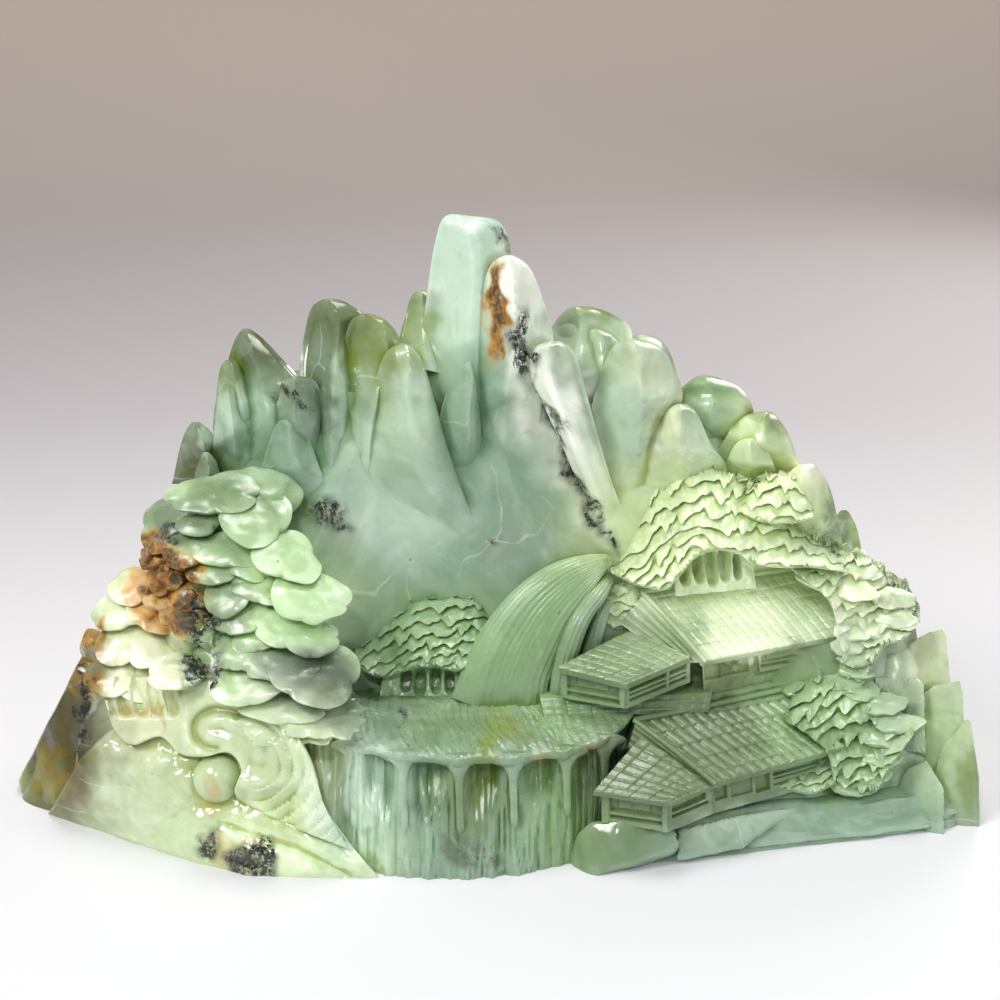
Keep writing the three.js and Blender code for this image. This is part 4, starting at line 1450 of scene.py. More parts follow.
@dataclass
class Mountain(SubAssembly):
    """The mass with its cliff and valley, and the peaks from the left end to the right."""

    peaks: tuple[Peak, ...] = (
        # The tall centre, its stained neighbour and the column between them
        Peak(
            ((-29.6, 143.6), (-33.6, 121), (-35.5, 98), (-38, 73), (-35, 52), (-28, 20)),
            ((-13, 142.2), (-0.6, 138.5), (3.7, 122), (1.5, 89), (-3, 52), (-6, 22)),
            32, 17, 0.2, 1.25, 9, 8, 0.2,
        ),
        Peak(
            ((2.4, 122.6), (-4.6, 117), (-8.6, 101), (-11.3, 77), (-10.4, 49), (-12.2, 15)),
            ((6.7, 122.6), (14.7, 116), (19.8, 101), (23.8, 79), (17.3, 49), (11.6, 10)),
            20, 15, 0.05, 1.25, 4, 7, 0.14,
        ),
        Peak(
            ((-18.3, 69.5), (-23.8, 60), (-28, 46), (-29, 27), (-27.5, 4)),
            ((-13.8, 69.5), (-10.7, 60), (-10.9, 43), (-11.4, 28), (-12.6, 17)),
            13, 11, 0.55, 1.12, 5, 4, 0.12,
        ),
        Peak(
            ((-51.3, 78.6), (-57.5, 73), (-61.7, 58), (-63.9, 37), (-63.9, 14), (-62.6, -6)),
            ((-45.2, 78.4), (-39.1, 70), (-34.2, 52), (-29.3, 28), (-22, 0), (-11.6, -28)),
            12, 15, 0.25, 1.6, 4, 4, 0.12,
        ),
        Peak(
            ((-41, 104.8), (-44.9, 100), (-47.7, 81), (-49, 68)),
            ((-36.7, 104.8), (-34.2, 100), (-33, 81), (-32, 64)),
            44, 9, 0.2, 1.3, 4, 4,
        ),
        # Left of the centre
        Peak(
            ((-69.7, 93.4), (-75.2, 88), (-78.2, 71), (-78.5, 49), (-73.3, 25), (-68.5, 2)),
            ((-64.2, 93.4), (-56.2, 89), (-50.1, 76), (-56.5, 56), (-62.5, 32), (-65.5, 4)),
            26, 15, 0.45, 1.3, 5, 5,
        ),
        Peak(
            ((-88.6, 100.6), (-94.1, 96), (-96.6, 83), (-97.8, 63), (-92.5, 40), (-84.5, 12)),
            ((-82.5, 100.8), (-75.8, 98), (-69, 90), (-73, 66), (-77.5, 42), (-81.5, 12)),
            38, 15, 0.15, 1.2, 6, 7, 0.22,
        ),
        Peak(
            ((-86, 74), (-88.5, 62), (-90, 46), (-88, 28), (-86, 8)),
            ((-84, 74), (-80.5, 60), (-79, 44), (-80.5, 26), (-83, 8)),
            24, 9, 0.1, 1.15, 5, 4,
        ),
        Peak(
            ((-129, 85.8), (-132.9, 79), (-136, 65), (-138, 43), (-131, 25), (-122, 10)),
            ((-125.3, 85.9), (-119, 81), (-110.6, 71), (-103, 59), (-99.5, 42), (-103, 12)),
            38, 17, 0.1, 1.2, 5, 8, 0.22,
        ),
        Peak(
            ((-137.5, 70), (-140, 65), (-141, 52), (-141, 37), (-138, 16)),
            ((-134.4, 70.3), (-130.5, 67), (-126, 54), (-122, 37), (-119, 16)),
            30, 12, 0.3, 1.2, 5, 5,
        ),
        Peak(
            ((-138.1, 57.4), (-141, 52), (-141.8, 37), (-142.2, 21), (-141, 6)),
            ((-136, 57.4), (-131.5, 54), (-127.5, 42), (-124.5, 27), (-122, 8)),
            20, 11, 0.1, 1.2, 5, 5,
        ),
        Peak(
            ((-104.5, 62), (-109.4, 58), (-110.5, 46), (-108, 30), (-101.5, 10)),
            ((-99.3, 62.2), (-92.3, 59), (-90.5, 49), (-92.4, 33), (-95.3, 10)),
            16, 14, -0.2, 1.15, 5, 6, 0.2,
        ),
        Peak(
            ((-110, 40.5), (-113.5, 34), (-116.5, 21), (-117.5, 8), (-114, -8)),
            ((-103.9, 40.6), (-98, 35), (-93.5, 21), (-91, 8), (-91.5, -6)),
            8, 11, 0.2, 1.15, 5, 6, 0.2,
        ),
        Peak(
            ((-154, 39.1), (-157, 34), (-158.8, 24), (-160, 8)),
            ((-149.7, 39), (-144.8, 34), (-141, 26), (-139, 8)),
            24, 12, 0.1, 1.2, 5, 5,
        ),
        Peak(
            ((-148.5, 24), (-151, 18), (-152, 10), (-151, -2)),
            ((-145.5, 24), (-142, 19), (-140.5, 10), (-139, -2)),
            12, 7, 0.1, 1.2, 5, 3,
        ),
        # Right of the centre
        Peak(
            ((22, 79.1), (17.4, 75), (15.6, 64), (23.2, 47), (34.8, 21.5), (46, -3), (57, -26)),
            ((31, 79.8), (37.4, 73), (41.5, 57), (48, 31), (54, 10), (59, -3), (64, -13)),
            8, 13, -0.35, 1.15, 14, 6, 0.14,
        ),
        Peak(
            ((35.1, 96.8), (29.3, 91), (26, 81), (28, 66), (33.6, 46)),
            ((42.8, 97.1), (53.5, 94), (62.6, 86), (61, 70), (53.5, 46)),
            46, 15, -0.2, 1.3, 5, 6,
        ),
        Peak(
            ((45.8, 85.6), (43.2, 81), (42, 68), (43.5, 50)),
            ((50.1, 85.6), (55.8, 82), (59.4, 74), (58, 54)),
            34, 9, 0.0, 1.4, 4, 3,
        ),
        Peak(
            ((61.7, 80.6), (55.6, 75), (51.3, 61), (49, 43), (53, 18), (60, -8)),
            ((70.3, 81), (81, 75), (86.2, 64), (88, 50), (80, 28), (74, 2)),
            20, 17, 0.1, 1.35, 5, 7, 0.18,
        ),
        Peak(
            ((87.1, 48), (82, 43), (78, 31), (75.5, 15), (74.5, -4)),
            ((93.2, 48.3), (98.4, 43), (104, 28), (108.5, 18), (112, 2)),
            12, 15, 0.0, 1.35, 5, 5,
        ),
        Peak(
            ((98.5, 62.5), (92, 56), (90.5, 45), (95, 26)),
            ((106, 62.5), (119, 56), (123.3, 45), (119, 26)),
            40, 17, -0.1, 1.3, 5, 5,
        ),
        Peak(
            ((129, 44.3), (119.5, 40), (115, 29), (110, 12)),
            ((136, 44.5), (142.5, 35), (145.5, 22), (148, 4)),
            30, 15, 0.1, 1.3, 5, 6,
        ),
        Peak(
            ((122, 31), (117.5, 27), (115, 18), (113, 4)),
            ((128, 31), (133, 25), (136, 15), (138, 2)),
            18, 10, 0.0, 1.3, 5, 4,
        ),
        Peak(
            ((150, 18.4), (144.5, 12), (142, -2), (140, -18)),
            ((157.5, 18.5), (164, 7), (167, -12), (168, -32)),
            20, 13, -0.2, 1.3, 6, 5,
        ),
        Peak(
            ((170, -5), (166, -13), (165, -28), (165, -44)),
            ((174, -5), (178, -14), (180, -30), (181, -50)),
            40, 11, 0.1, 1.3, 5, 4,
        ),
        Peak(
            ((191, -35.8), (187, -44), (188, -62), (190, -84)),
            ((196.5, -36), (203, -45), (206, -64), (208, -90)),
            32, 13, 0.1, 1.2, 6, 6,
        ),
    )

    ridges: int = 9

    def forms(self) -> list[Form]:
        """The mass first, then the peaks and the low ridges on the back."""
        return [BEDROCK.mass()] + [peak.form() for peak in self.peaks] + self.back_ridges()

    def back_ridges(self) -> list[Form]:
        """Blunt upright ridges down the back, their tops following the row of peaks in front."""
        made = []
        for k, x in enumerate(np.linspace(-166, 166, self.ridges)):
            top = 100 - 0.0034 * x * x + 7 * math.sin(k * 2.4)
            wide = 25 + 4 * math.sin(k * 1.7)
            rows = ((0.86, 0.2, top), (0.9, 0.6, top - 18), (0.97, 0.9, (top - 110) / 2), (1.08, 1.15, -124))
            left, right = (
                tuple((x * s + side * wide * w, up) for s, w, up in rows) for side in (-1, 1)
            )
            deep, foot = 50 + 3 * math.cos(k * 2.1), 76 - 16 * (x / 166) ** 2
            ridge = Peak(left, right, deep, 19, facets=0, foot_depth=foot, flare=0, rings=24, sides=32)
            made.append(ridge.form())
        return made

    def hollows(self) -> list[Form]:
        """The open valley in front of the cliff, and the open space over the slope of the upper roof."""
        near = [(66, -36, -70), (190, -31, -70), (190, -72, -70), (96, -86, -70)]
        far = [(66, -47, 0), (154, -31, 33), (186, -62, 10), (102, -84, -27)]
        return [BEDROCK.hollow(), rock(board_points(near + far), 30, 120, 0, 20, 1)]


class Edge(Enum):
    """How the rim of a foliage pad is cut."""

    SCALE = "rounded lobes with a crease between them"
    RUFFLE = "a wavy hem"
    TONGUE = "one point on the right"


@dataclass(frozen=True)
class Pad:
    """A thin foliage pad: a shallow dome with a sharp rim, its underside running back into the stone.

    at is across, up and depth of its middle, radius its half width and half depth. tilt drops its front
    towards the viewer and roll drops its right side. count is the number of lobes or waves all round.
    """

    at: Place
    radius: Spot
    roll: float = 0.0
    tilt: float = 34.0
    edge: Edge = Edge.SCALE
    count: int = 5
    rise: float = 2.6
    rim: float = 1.1
    root: float = 26.0
    sides: int = 84

    def hem(self, angle: Array) -> tuple[Array, Array]:
        """The rim's reach, as a share of the radius, and its lift in millimetres, round the pad.

        Lobes dip where a cosine of count half turns is near 0, a tongue's point is a high power of a cosine,
        and waves are a sine of count turns with a slower and a quicker one added. Phases come from the pad's
        place.

        Args:
            angle: the turns round the pad.

        Returns:
            The reach and the lift.
        """
        rng = np.random.default_rng(int(abs(self.at[0] * 31 + self.at[1] * 17)) + 3)
        phase, other = rng.uniform(0, TAU, 2)
        slow = 0.035 * np.sin(2 * angle + other) + 0.03 * np.sin(3 * angle + phase)
        if self.edge is not Edge.SCALE:
            slow = slow + 0.05 * np.sin(5 * angle + other) + 0.035 * np.sin(9 * angle + phase)
        if self.edge is Edge.SCALE:
            dip = (1 - np.abs(np.cos(self.count * angle / 2 + phase + 0.5 * np.sin(angle + other)))) ** 3
            return 1 - 0.15 * dip + 1.8 * slow, 0.9 * np.sin(2 * angle + phase) - 1.3 * dip
        if self.edge is Edge.TONGUE:
            point = (0.5 + 0.5 * np.cos(angle)) ** 5
            reach = 0.9 + 0.22 * point + 0.06 * np.cos(self.count * angle + other) + slow
            return reach, 0.7 * np.sin(2 * angle + phase)
        wave = self.count * angle + phase + 1.1 * np.sin(2 * angle + other)
        size = 1 + 0.4 * np.sin(0.37 * wave + other)
        reach = 1 + 0.05 * size * np.sin(wave) + 0.018 * np.sin(2 * wave + other) + slow
        return reach, size * (1.15 * np.sin(wave + 0.9) + 0.25 * np.sin(2 * wave + phase))

    def form(self) -> Form:
        """The pad as rings: over the top from the crown to the rim, round it, and back under to the root."""
        angle = np.arange(self.sides)[None, :] / self.sides * TAU
        reach, lift = self.hem(angle)
        top = 12
        share = np.concatenate([np.linspace(0.08, 1, top) ** 0.75, [1.004, 0.995, 0.93, 0.78, 0.5]])[:, None]
        fall = np.concatenate([np.zeros(top), [-0.35, -1.0, -1.5, -2.6, -5.5]])[:, None]
        held = np.minimum(share, 1)
        late = 5.0 if self.edge is Edge.SCALE else 7.0
        height = self.rise * (1 - held**2.0) * (fall == 0) + fall * self.rim + lift * held**late
        spread = share * (1 + (reach - 1) * held**late)
        x, y = self.radius[0] * spread * np.cos(angle), self.radius[1] * spread * np.sin(angle)
        local = np.stack([x, y, height + 0 * angle], -1)
        centre = BOARD.seen(*self.at)
        rings = local @ (turn_x(self.tilt) @ turn_y(self.roll)).T + centre
        rings[..., 2] += 0.55 * swell(rings, 15, 8)
        return tube(rings, end=centre + np.array([0, self.root, -0.4 * self.root]))


def lump(at: Sequence[float], radius: Sequence[float], rough: float = 1.2) -> Form:
    """A worn oval heart of stone behind the pads, its middle at across, up and depth."""
    return ball(BOARD.seen(*at), radius, 26, rough, int(abs(at[0]) * 3 + abs(at[1])))


def crystal(at: Sequence[float], radius: Sequence[float], seed: int) -> Form:
    """A broken knob of many flat faces: the worn block round sixteen seeded corners on an oval.

    Args:
        at: across, up and depth of its middle.
        radius: its three half sizes.
        seed: which corners.

    Returns:
        The closed form.
    """
    rng = np.random.default_rng(seed)
    count = 16
    way = rng.normal(size=(count, 3))
    way /= np.linalg.norm(way, axis=1, keepdims=True)
    corners = BOARD.seen(*at) + way * np.asarray(radius) * rng.uniform(0.8, 1.1, (count, 1))
    return rock(corners, 22, 60, 0.25, 5, seed)


def ribbon(
    path: Rows,
    widths: Sequence[float],
    flat: float = 1.0,
    relief: Relief | None = None,
    rows: int = 60,
    sides: int = 28,
) -> Form:
    """A smooth strip or rod carried along a path, its face towards the viewer.

    Args:
        path: across, up and depth of the places it goes through.
        widths: its width at evenly spaced places along it.
        flat: its thickness as a share of its width.
        relief: extra height of its face, from the share across it, -1 to 1, and the share along it, 0 to 1.
        rows: rings along it.
        sides: points round it.

    Returns:
        The closed form.
    """
    t = np.linspace(0, 1, rows)
    spine = along(board_points(path), t)
    tangent = np.gradient(spine, axis=0)
    tangent /= np.linalg.norm(tangent, axis=1, keepdims=True)
    side = np.cross(tangent, BOARD.look)
    side /= np.linalg.norm(side, axis=1, keepdims=True)
    out = np.cross(side, tangent)
    out *= -np.sign((out * BOARD.look).sum(1, keepdims=True))
    angle = np.arange(sides)[None, :] / sides * TAU
    half = along(widths, t)[:, None] / 2
    x, y = np.cos(angle) * half, np.sin(angle) * half * flat
    if relief is not None:
        y = y + relief(np.cos(angle) + 0 * half, t[:, None] + 0 * angle) * (np.sin(angle) > 0)
    return tube(spine[:, None] + side[:, None] * x[..., None] + out[:, None] * y[..., None])


@dataclass
class LeftPine(SubAssembly):
    """The big pine on the left: overlapping lobes on oval hearts, with broken rusty knobs between them."""

    # Across, up, half width, half depth, roll to the right and number of lobes of each pad
    lobes: tuple[tuple[float, float, float, float, float, int], ...] = (
        (-143, 3, 20, 11, -4, 3),
        (-123, -8, 17, 14, 12, 2),
        (-151, -11, 10, 7, -6, 1),
        (-168, -12, 13, 14, -26, 1),
        (-135, -25, 15, 9, 3, 2),
        (-157, -24, 11, 10, -14, 2),
        (-106, -28, 15, 13, 20, 2),
        (-124, -33, 10, 8, 6, 1),
        (-144, -35, 12, 7, -4, 2),
        (-116, -43, 16, 9, 4, 3),
        (-95, -48, 17, 13, 16, 2),
        (-136, -46, 12, 11, -14, 2),
        (-130, -58, 12, 9, -10, 2),
        (-107, -62, 16, 10, 4, 3),
        (-122, -69, 10, 7, -4, 1),
        (-95, -69, 12, 9, 12, 2),
        (-131, -75, 12, 9, -8, 2),
        (-111, -80, 18, 10, 2, 3),
        (-92, -87, 20, 15, 14, 2),
        (-126, -91, 18, 10, -4, 3),
        (-107, -101, 23, 10, 2, 4),
        (-186, -43, 10, 10, -16, 1),
        (-190, -56, 13, 9, -8, 2),
        (-172, -56, 12, 11, 8, 2),
        (-188, -71, 13, 11, -6, 2),
        (-174, -73, 11, 11, 8, 2),
        (-195, -87, 13, 11, -12, 2),
        (-179, -91, 14, 10, 2, 2),
        (-162, -86, 12, 9, 6, 2),
    )
    skirts: tuple[Pad, ...] = (
        Pad((-104, -110, -64), (26, 15), 2, edge=Edge.RUFFLE, count=13),
        Pad((-90, -107, -66), (22, 14), 10, edge=Edge.RUFFLE, count=13),
    )
    hearts: tuple[Heart, ...] = (
        ((-133, -20, 0), (27, 20, 26)),
        ((-124, 2, -6), (24, 20, 13)),
        ((-112, -62, -12), (24, 24, 32)),
        ((-160, -36, -4), (17, 20, 18)),
        ((-104, -98, -26), (28, 28, 24)),
        ((-170, -70, 4), (26, 22, 32)),
        ((-150, -62, -20), (18, 18, 26)),
        ((-138, -84, -30), (20, 20, 22)),
    )
    seam: tuple[Place, ...] = (
        (-170, -29, -16), (-165, -44, -24), (-152, -56, -34), (-144, -68, -42), (-138, -80, -46)
    )
    knobs: int = 26

    def lobe(self, a: float, u: float, half: float, deep: float, roll: float, count: int) -> Form:
        """One pad; the slope it lies on comes forward going down, and is farther back in the left half."""
        depth = -26 + 0.42 * u - 0.12 * (a + 135) + 25 * float(ease((-155 - a) / 20))
        return Pad((a, u, max(depth, -66)), (half * 1.12, deep * 1.2), roll, count=count + 1).form()

    def forms(self) -> list[Form]:
        """The hearts, the lobes, and seeded knobs down the line between the two halves of the pine."""
        rng = np.random.default_rng(11)
        share = np.linspace(0, 1, self.knobs)
        line = along(self.seam, share)
        line = line + rng.normal(size=line.shape) * (5, 4.5, 2.5)
        sizes = [rng.uniform(0.6, 1.15, 3) * (8, 6, 6.5) for _ in line]
        broken = [crystal(place, size, 100 + k) for k, (place, size) in enumerate(zip(line, sizes))]
        lobes = [self.lobe(*lobe) for lobe in self.lobes] + [skirt.form() for skirt in self.skirts]
        return [lump(*heart) for heart in self.hearts] + lobes + broken


def cloud_depth(a: Array, u: Array) -> Array:
    """The depth of the cloud's face over the board: a sloping plane, held softly behind y = -82."""
    plane = -48.9 - 0.2864 * a + 0.4418 * u
    return -82 + 4 * np.logaddexp(0, (plane + 82) / 4)


def board_sheet(
    lower: Rows, upper: Rows, depth: Relief, thick: float, rim: float, shape: tuple[int, int]
) -> Form:
    """A relief drawn on the board between two curves, with rounded borders.

    Args:
        lower: across and up of evenly spaced places on the lower curve.
        upper: the same for the upper curve.
        depth: the depth of the face from across and up.
        thick: how far the stone goes back.
        rim: the radius of the rounded border.
        shape: grid steps along the curves and between them.

    Returns:
        The closed form.
    """
    p = np.linspace(0, 1, shape[0])
    low, high = along(lower, p), along(upper, p)
    q = np.linspace(0, 1, shape[1])[:, None, None]
    flat = low * (1 - q) + high * q
    a, u = flat[..., 0], flat[..., 1]
    tall = np.linalg.norm(high - low, axis=1)[None, :]
    wide = np.linalg.norm(np.diff(flat, axis=1), axis=2).sum(1)[:, None]
    side = np.minimum(p, 1 - p)[None, :] * wide
    away = np.minimum(np.minimum(q[..., 0], 1 - q[..., 0]) * tall, side)
    inward = 1 - np.clip(away / rim, 0, 1)
    face = depth(a, u) + rim * (1 - np.sqrt(1 - inward**2))
    return plate(BOARD.seen(a, u, face), BOARD.seen(a, u, np.maximum(depth(a, u), face) + thick))


@dataclass
class CloudFoot(SubAssembly):
    """The scrolling cloud with its ball and curl, the rock foot below it and the leaning slab on the left."""

    wave_centre: Spot = (-121.5, -132.5)
    wave_step: float = 6.2
    hook: tuple[Spot, ...] = (
        (-114, -117),
        (-123, -110),
        (-133, -105.8),
        (-143, -104.8),
        (-150.8, -109),
        (-152.6, -116.5),
        (-148.6, -122.4),
        (-142, -124.5),
    )
    ball_centre: Spot = (-141.0, -139.0)
    ball_radius: float = 12.2
    slab: tuple[Place, ...] = (
        (-241, -140, -2),
        (-238, -151, -6),
        (-224, -154, -24),
        (-194, -140, -30),
        (-186, -112, -20),
        (-194, -92, -8),
        (-212.5, -84, 0),
        (-204, -68, 16),
        (-190, -80, 6),
        (-188, -130, 32),
        (-241, -140, 26),
    )

    def foot_depth(self, a: Array, u: Array) -> Array:
        """The face of the rock foot: from the line where it stands, eased up to just behind the cloud.

        A broad dome is added on the left, a shallow oval dent in it, three slanting folds on the right and a
        round seat for the ball.

        Args:
            a: across on the board.
            u: up on the board.

        Returns:
            The y of the face.
        """
        stand = np.interp(a, [-226, -196, -160, -125, -56], [-27, -46, -69, -86, -87])
        floor_up = np.interp(a, [-226, -196, -160, -118, -56], [-157, -168, -181, -192, -192])
        face = stand + (cloud_depth(a, u) + 6 - stand) * ease((u - floor_up - 4) / 34)
        face = face - 6.5 * np.exp(-(((a + 172) / 24) ** 2) - ((u + 134) / 16) ** 2)
        face = face + 2.2 * np.exp(-(((a + 182) / 12) ** 2) - ((u + 144) / 4.5) ** 2)
        fold = ((a + 143) * 33 + (u + 155) * 78) / 84.7 + 1.5 * np.sin(a / 13)
        shown = ease((a + 146) / 14) * ease((fold + 20) / 8)
        face = face - shown * (2.6 * np.abs(np.sin(fold * math.pi / 15 + 0.6)) ** 0.7 - 1.2)
        away = np.hypot(a - self.ball_centre[0], u - self.ball_centre[1])
        face = face + 6 * (1 - ease((away - self.ball_radius + 3.4) / 3.4))
        worn = 0.7 * swell(pair(a, u), 22, 61) + 0.25 * swell(pair(a, u), 8, 62)
        return np.maximum(face + worn, -89.4)

    def cloud_relief(self, a: Array, u: Array) -> Array:
        """The face of the cloud: proud of the foot, with ribs at its top left, a curl, and terraced waves.

        The curl is a hooked line, sunk by a bell curve of the distance from it, with a ridge on both sides.
        The waves are steps of distance from their centre, shown on the right of it.

        Args:
            a: across on the board.
            u: up on the board.

        Returns:
            The y of the face.
        """
        low_right = ease((-u - 140) / 12) * ease((a + 136) / 8)
        face = cloud_depth(a, u) - 4.5 + 7.5 * low_right * (1 - ease((a + 106) / 12))
        ribs = ease((u + 110) / 5) * ease((-a - 158) / 4)
        face = face + ribs * (4.5 * np.abs(np.sin((a + 1.2 * np.sin(u / 4)) * math.pi / 8)) ** 0.6 - 0.5)
        line = along(self.hook, np.linspace(0, 1, 60))
        away = np.sqrt(((a[..., None] - line[:, 0]) ** 2 + (u[..., None] - line[:, 1]) ** 2).min(-1))
        face = face + 2.8 * np.exp(-((away / 2.1) ** 2)) - 1.1 * np.exp(-(((away - 5.5) / 3.0) ** 2))
        dx, dy = a - self.wave_centre[0], u - self.wave_centre[1]
        away, turn = np.hypot(dx, dy), np.arctan2(dy, dx)
        shown = ease((np.cos(turn + 0.15) + 0.25) / 0.7) * ease((away - 8) / 5)
        step = np.mod(away / self.wave_step + 0.06 * np.sin(5 * turn), 1)
        face = face + shown * (1.7 * step**1.5 * ease((1 - step) * 7) - 0.6)
        bowl = 3.0 * np.exp(-((away / 9) ** 2))
        return face + bowl + 0.4 * swell(pair(a, u), 18, 71)

    def forms(self) -> list[Form]:
        """The foot, the cloud over it, the ball, the slab with a small knob at its top, and the hearts."""
        foot = board_sheet(
            [(-226, -157), (-196, -168), (-160, -181), (-118, -193), (-56, -193)],
            [(-209, -128), (-190, -112), (-160, -106), (-118, -118), (-70, -178)],
            self.foot_depth,
            44,
            3,
            (190, 84),
        )
        lower = [(-198, -100), (-193, -115), (-184, -122.5), (-170, -118.5), (-160, -127), (-148, -128.5)]
        lower += [(-136, -126.5), (-129.5, -135), (-132, -148), (-112, -160), (-75, -175)]
        upper = [(-200, -88), (-188, -88), (-178, -88), (-168, -88), (-158, -88), (-148, -89)]
        upper += [(-136, -91), (-122, -98), (-108, -110), (-95, -128), (-88.5, -152)]
        cloud = board_sheet(lower, upper, self.cloud_relief, 30, 2.2, (220, 100))
        seat = float(cloud_depth(*self.ball_centre)) + 6.5
        sphere = ball(BOARD.seen(*self.ball_centre, seat), (self.ball_radius,) * 3, 30)
        slab = rock(board_points(self.slab), 46, 44, 0.6, 26, 14)
        tip = crystal((-203, -75, 8), (7, 11, 15), 61)
        hearts = [lump((-150, -128, -16), (44, 34, 40)), lump((-100, -150, -34), (22, 34, 30))]
        return [foot, cloud, sphere, slab, tip] + hearts


@dataclass
class Water(SubAssembly):
    """The fall down the cliff, the pool, the curtain under its lip and the posts of water that join them."""

    curtain_middle: Spot = (-20.0, -35.0)
    curtain_half: Place = (84.0, 55.0, 35.0)
    curtain_top: float = 58.0
    flute: float = 3.7
    pool_middle: Spot = (-10.0, -27.0)
    pool_half: Spot = (82.0, 51.0)
    pool_height: float = 65.0
    posts: tuple[float, ...] = (-68.0, -43.0, -16.0, 10.0, 36.0, 55.0)

    def curtain(self) -> Form:
        """Rings from the base to the pool: ovals drawn in towards the top, with flutes of uneven width.

        The flutes are the root of a sine along the front, whose width and depth drift, split by a quicker
        one.
        Under the lip the face is drawn back between the posts.
        """
        sides, rows = 560, 52
        z = np.linspace(0, self.curtain_top, rows)[:, None]
        turn = (np.arange(sides) + 0.5)[None, :] / sides * TAU
        half_y = self.curtain_half[1] + (self.curtain_half[2] - self.curtain_half[1]) * ease(z / 62) ** 0.9
        x = self.curtain_middle[0] + self.curtain_half[0] * np.cos(turn) + 0 * z
        y = self.curtain_middle[1] + half_y * np.sin(turn)
        drift = swell(pair(x, z * 0.35 + 0 * x), 26, 81)
        quick = swell(pair(x, z * 0.12 + 0 * x), 9, 85)
        phase = x / self.flute + 0.6 * np.sin(x / 9) + 0.45 * drift
        depth = np.clip(0.9 + 0.7 * swell(pair(x, z * 0.3 + 0 * x), 18, 82), 0.25, 1.8)
        groove = 0.95 * depth * (1 - np.abs(np.sin(math.pi * phase)) ** 0.7)
        split = 0.4 * (1 - np.abs(np.sin(math.pi * phase * 2.3 + 2 * drift))) * ease(1.2 * quick + 0.5)
        fine = 0.13 * np.sin(x * 4.3 + 3 * drift + z * 0.05)
        away = np.min(np.abs(x[..., None] - np.array(self.posts) * 0.985), axis=-1)
        niche = ease((z - 26 - 5 * drift) / 20) * ease((away - 2.6) / 7)
        front = (np.sin(turn) < 0) * 1.0
        y = y + front * (groove + split + fine + 7.0 * niche + 0.9 - 1.2 * quick)
        return tube(np.stack([x, y, z + 0 * x], -1))

    def pool(self) -> Form:
        """The pool as rings from its middle over the lip and back under: a dished slab with slanting grooves.

        Between the posts the lip reaches less far and its underside is cut up in an arch.
        """
        sides = 450
        turn = (np.arange(sides) + 0.5)[None, :] / sides * TAU
        share = np.concatenate([np.linspace(0.03, 1, 70), [1.004, 1.002, 0.985, 0.95, 0.8]])[:, None]
        under = np.concatenate([np.zeros(70), [-0.8, -2.4, -4.4, -6.0, -9]])[:, None]
        x = self.pool_middle[0] + self.pool_half[0] * share * np.cos(turn)
        away = np.min(np.abs(x[..., None] - np.array(self.posts)), axis=-1)
        front = np.sin(turn) < 0
        held = np.clip(share, 0, 1)
        arch = ease(away / 12) * held**8 * front
        half_y = self.pool_half[1] - 2.4 * arch + 0.8 * swell(pair(x, 0 * x), 14, 97) * held**8
        y = self.pool_middle[1] + half_y * share * np.sin(turn)
        sag = 6.5 * held**2.2 * ease(-np.sin(turn) * 1.3)
        line = x * 0.95 + y * 0.31 + 3 * swell(pair(x, y), 60, 90)
        bend = 0.9 * swell(pair(x, y), 34, 91)
        groove = 0.62 * np.abs(np.sin(line * math.pi / 4.4 + bend)) ** 0.7
        groove = groove + 0.14 * np.sin(line * 4.4) + 0.45 * swell(pair(x, y), 16, 93)
        lift = np.where(under < -1, 1.9 * arch, 0)
        z = self.pool_height + 1.5 * (1 - held**2) - sag + groove * (under == 0) + under + lift
        return tube(np.stack([x, y, z], -1))

    def post(self, x: float) -> Form:
        """A post of water from under the lip down the curtain: wide at the lip, then thin, then fading.

        Args:
            x: where it stands across.

        Returns:
            The closed form.
        """
        share = math.sqrt(1 - ((x - self.pool_middle[0]) / self.pool_half[0]) ** 2)
        lip = self.pool_middle[1] - self.pool_half[1] * share
        side = math.sqrt(1 - ((x - self.curtain_middle[0]) / self.curtain_half[0]) ** 2)
        low = self.curtain_middle[1] - 46 * side
        length = 1 + 0.18 * math.sin(x)
        rows = [(55.5, lip + 7), (53.5, lip + 4.2), (49, lip + 3.0), (43, lip + 2.6)]
        rows += [(43 - 9 * length, (lip + 2 + low) / 2), (43 - 18 * length, low - 0.8)]
        rows += [(43 - 27 * length, low + 2)]
        path = [(*BOARD.drawn(np.array([x + 0.03 * (57 - z), y, z])), y) for z, y in rows]
        return ribbon(path, [22, 12, 5.6, 4.2, 3.8, 3.8, 2.4], 0.6, rows=40, sides=22)

    def fall(self) -> list[Form]:
        """The broad sheet, and the two narrower ones behind its right side.

        The sheet's grooves are sines across it that drift along it; a soft fold runs down its left side.
        """

        def grooves(s: Array, t: Array) -> Array:
            """Fine long grooves that follow the water down.

            Args:
                s: the share across, -1 to 1.
                t: the share along, 0 to 1.

            Returns:
                The extra height.
            """
            drift = np.sin(3 * t) + 0.5 * np.sin(7 * s)
            lines = 0.13 * np.abs(np.sin(s * 19 + 1.6 * drift)) ** 0.8
            fine = 0.11 * np.sin(s * 43 + 3 * drift) + 0.07 * np.sin(s * 88 - 2 * t)
            fold = 1.5 * t * np.exp(-(((s + 0.55) / 0.25) ** 2))
            fold = fold - 0.9 * t * np.exp(-(((s - 0.35) / 0.22) ** 2))
            return (lines + fine) * ease((1 - np.abs(s)) * 12) + fold

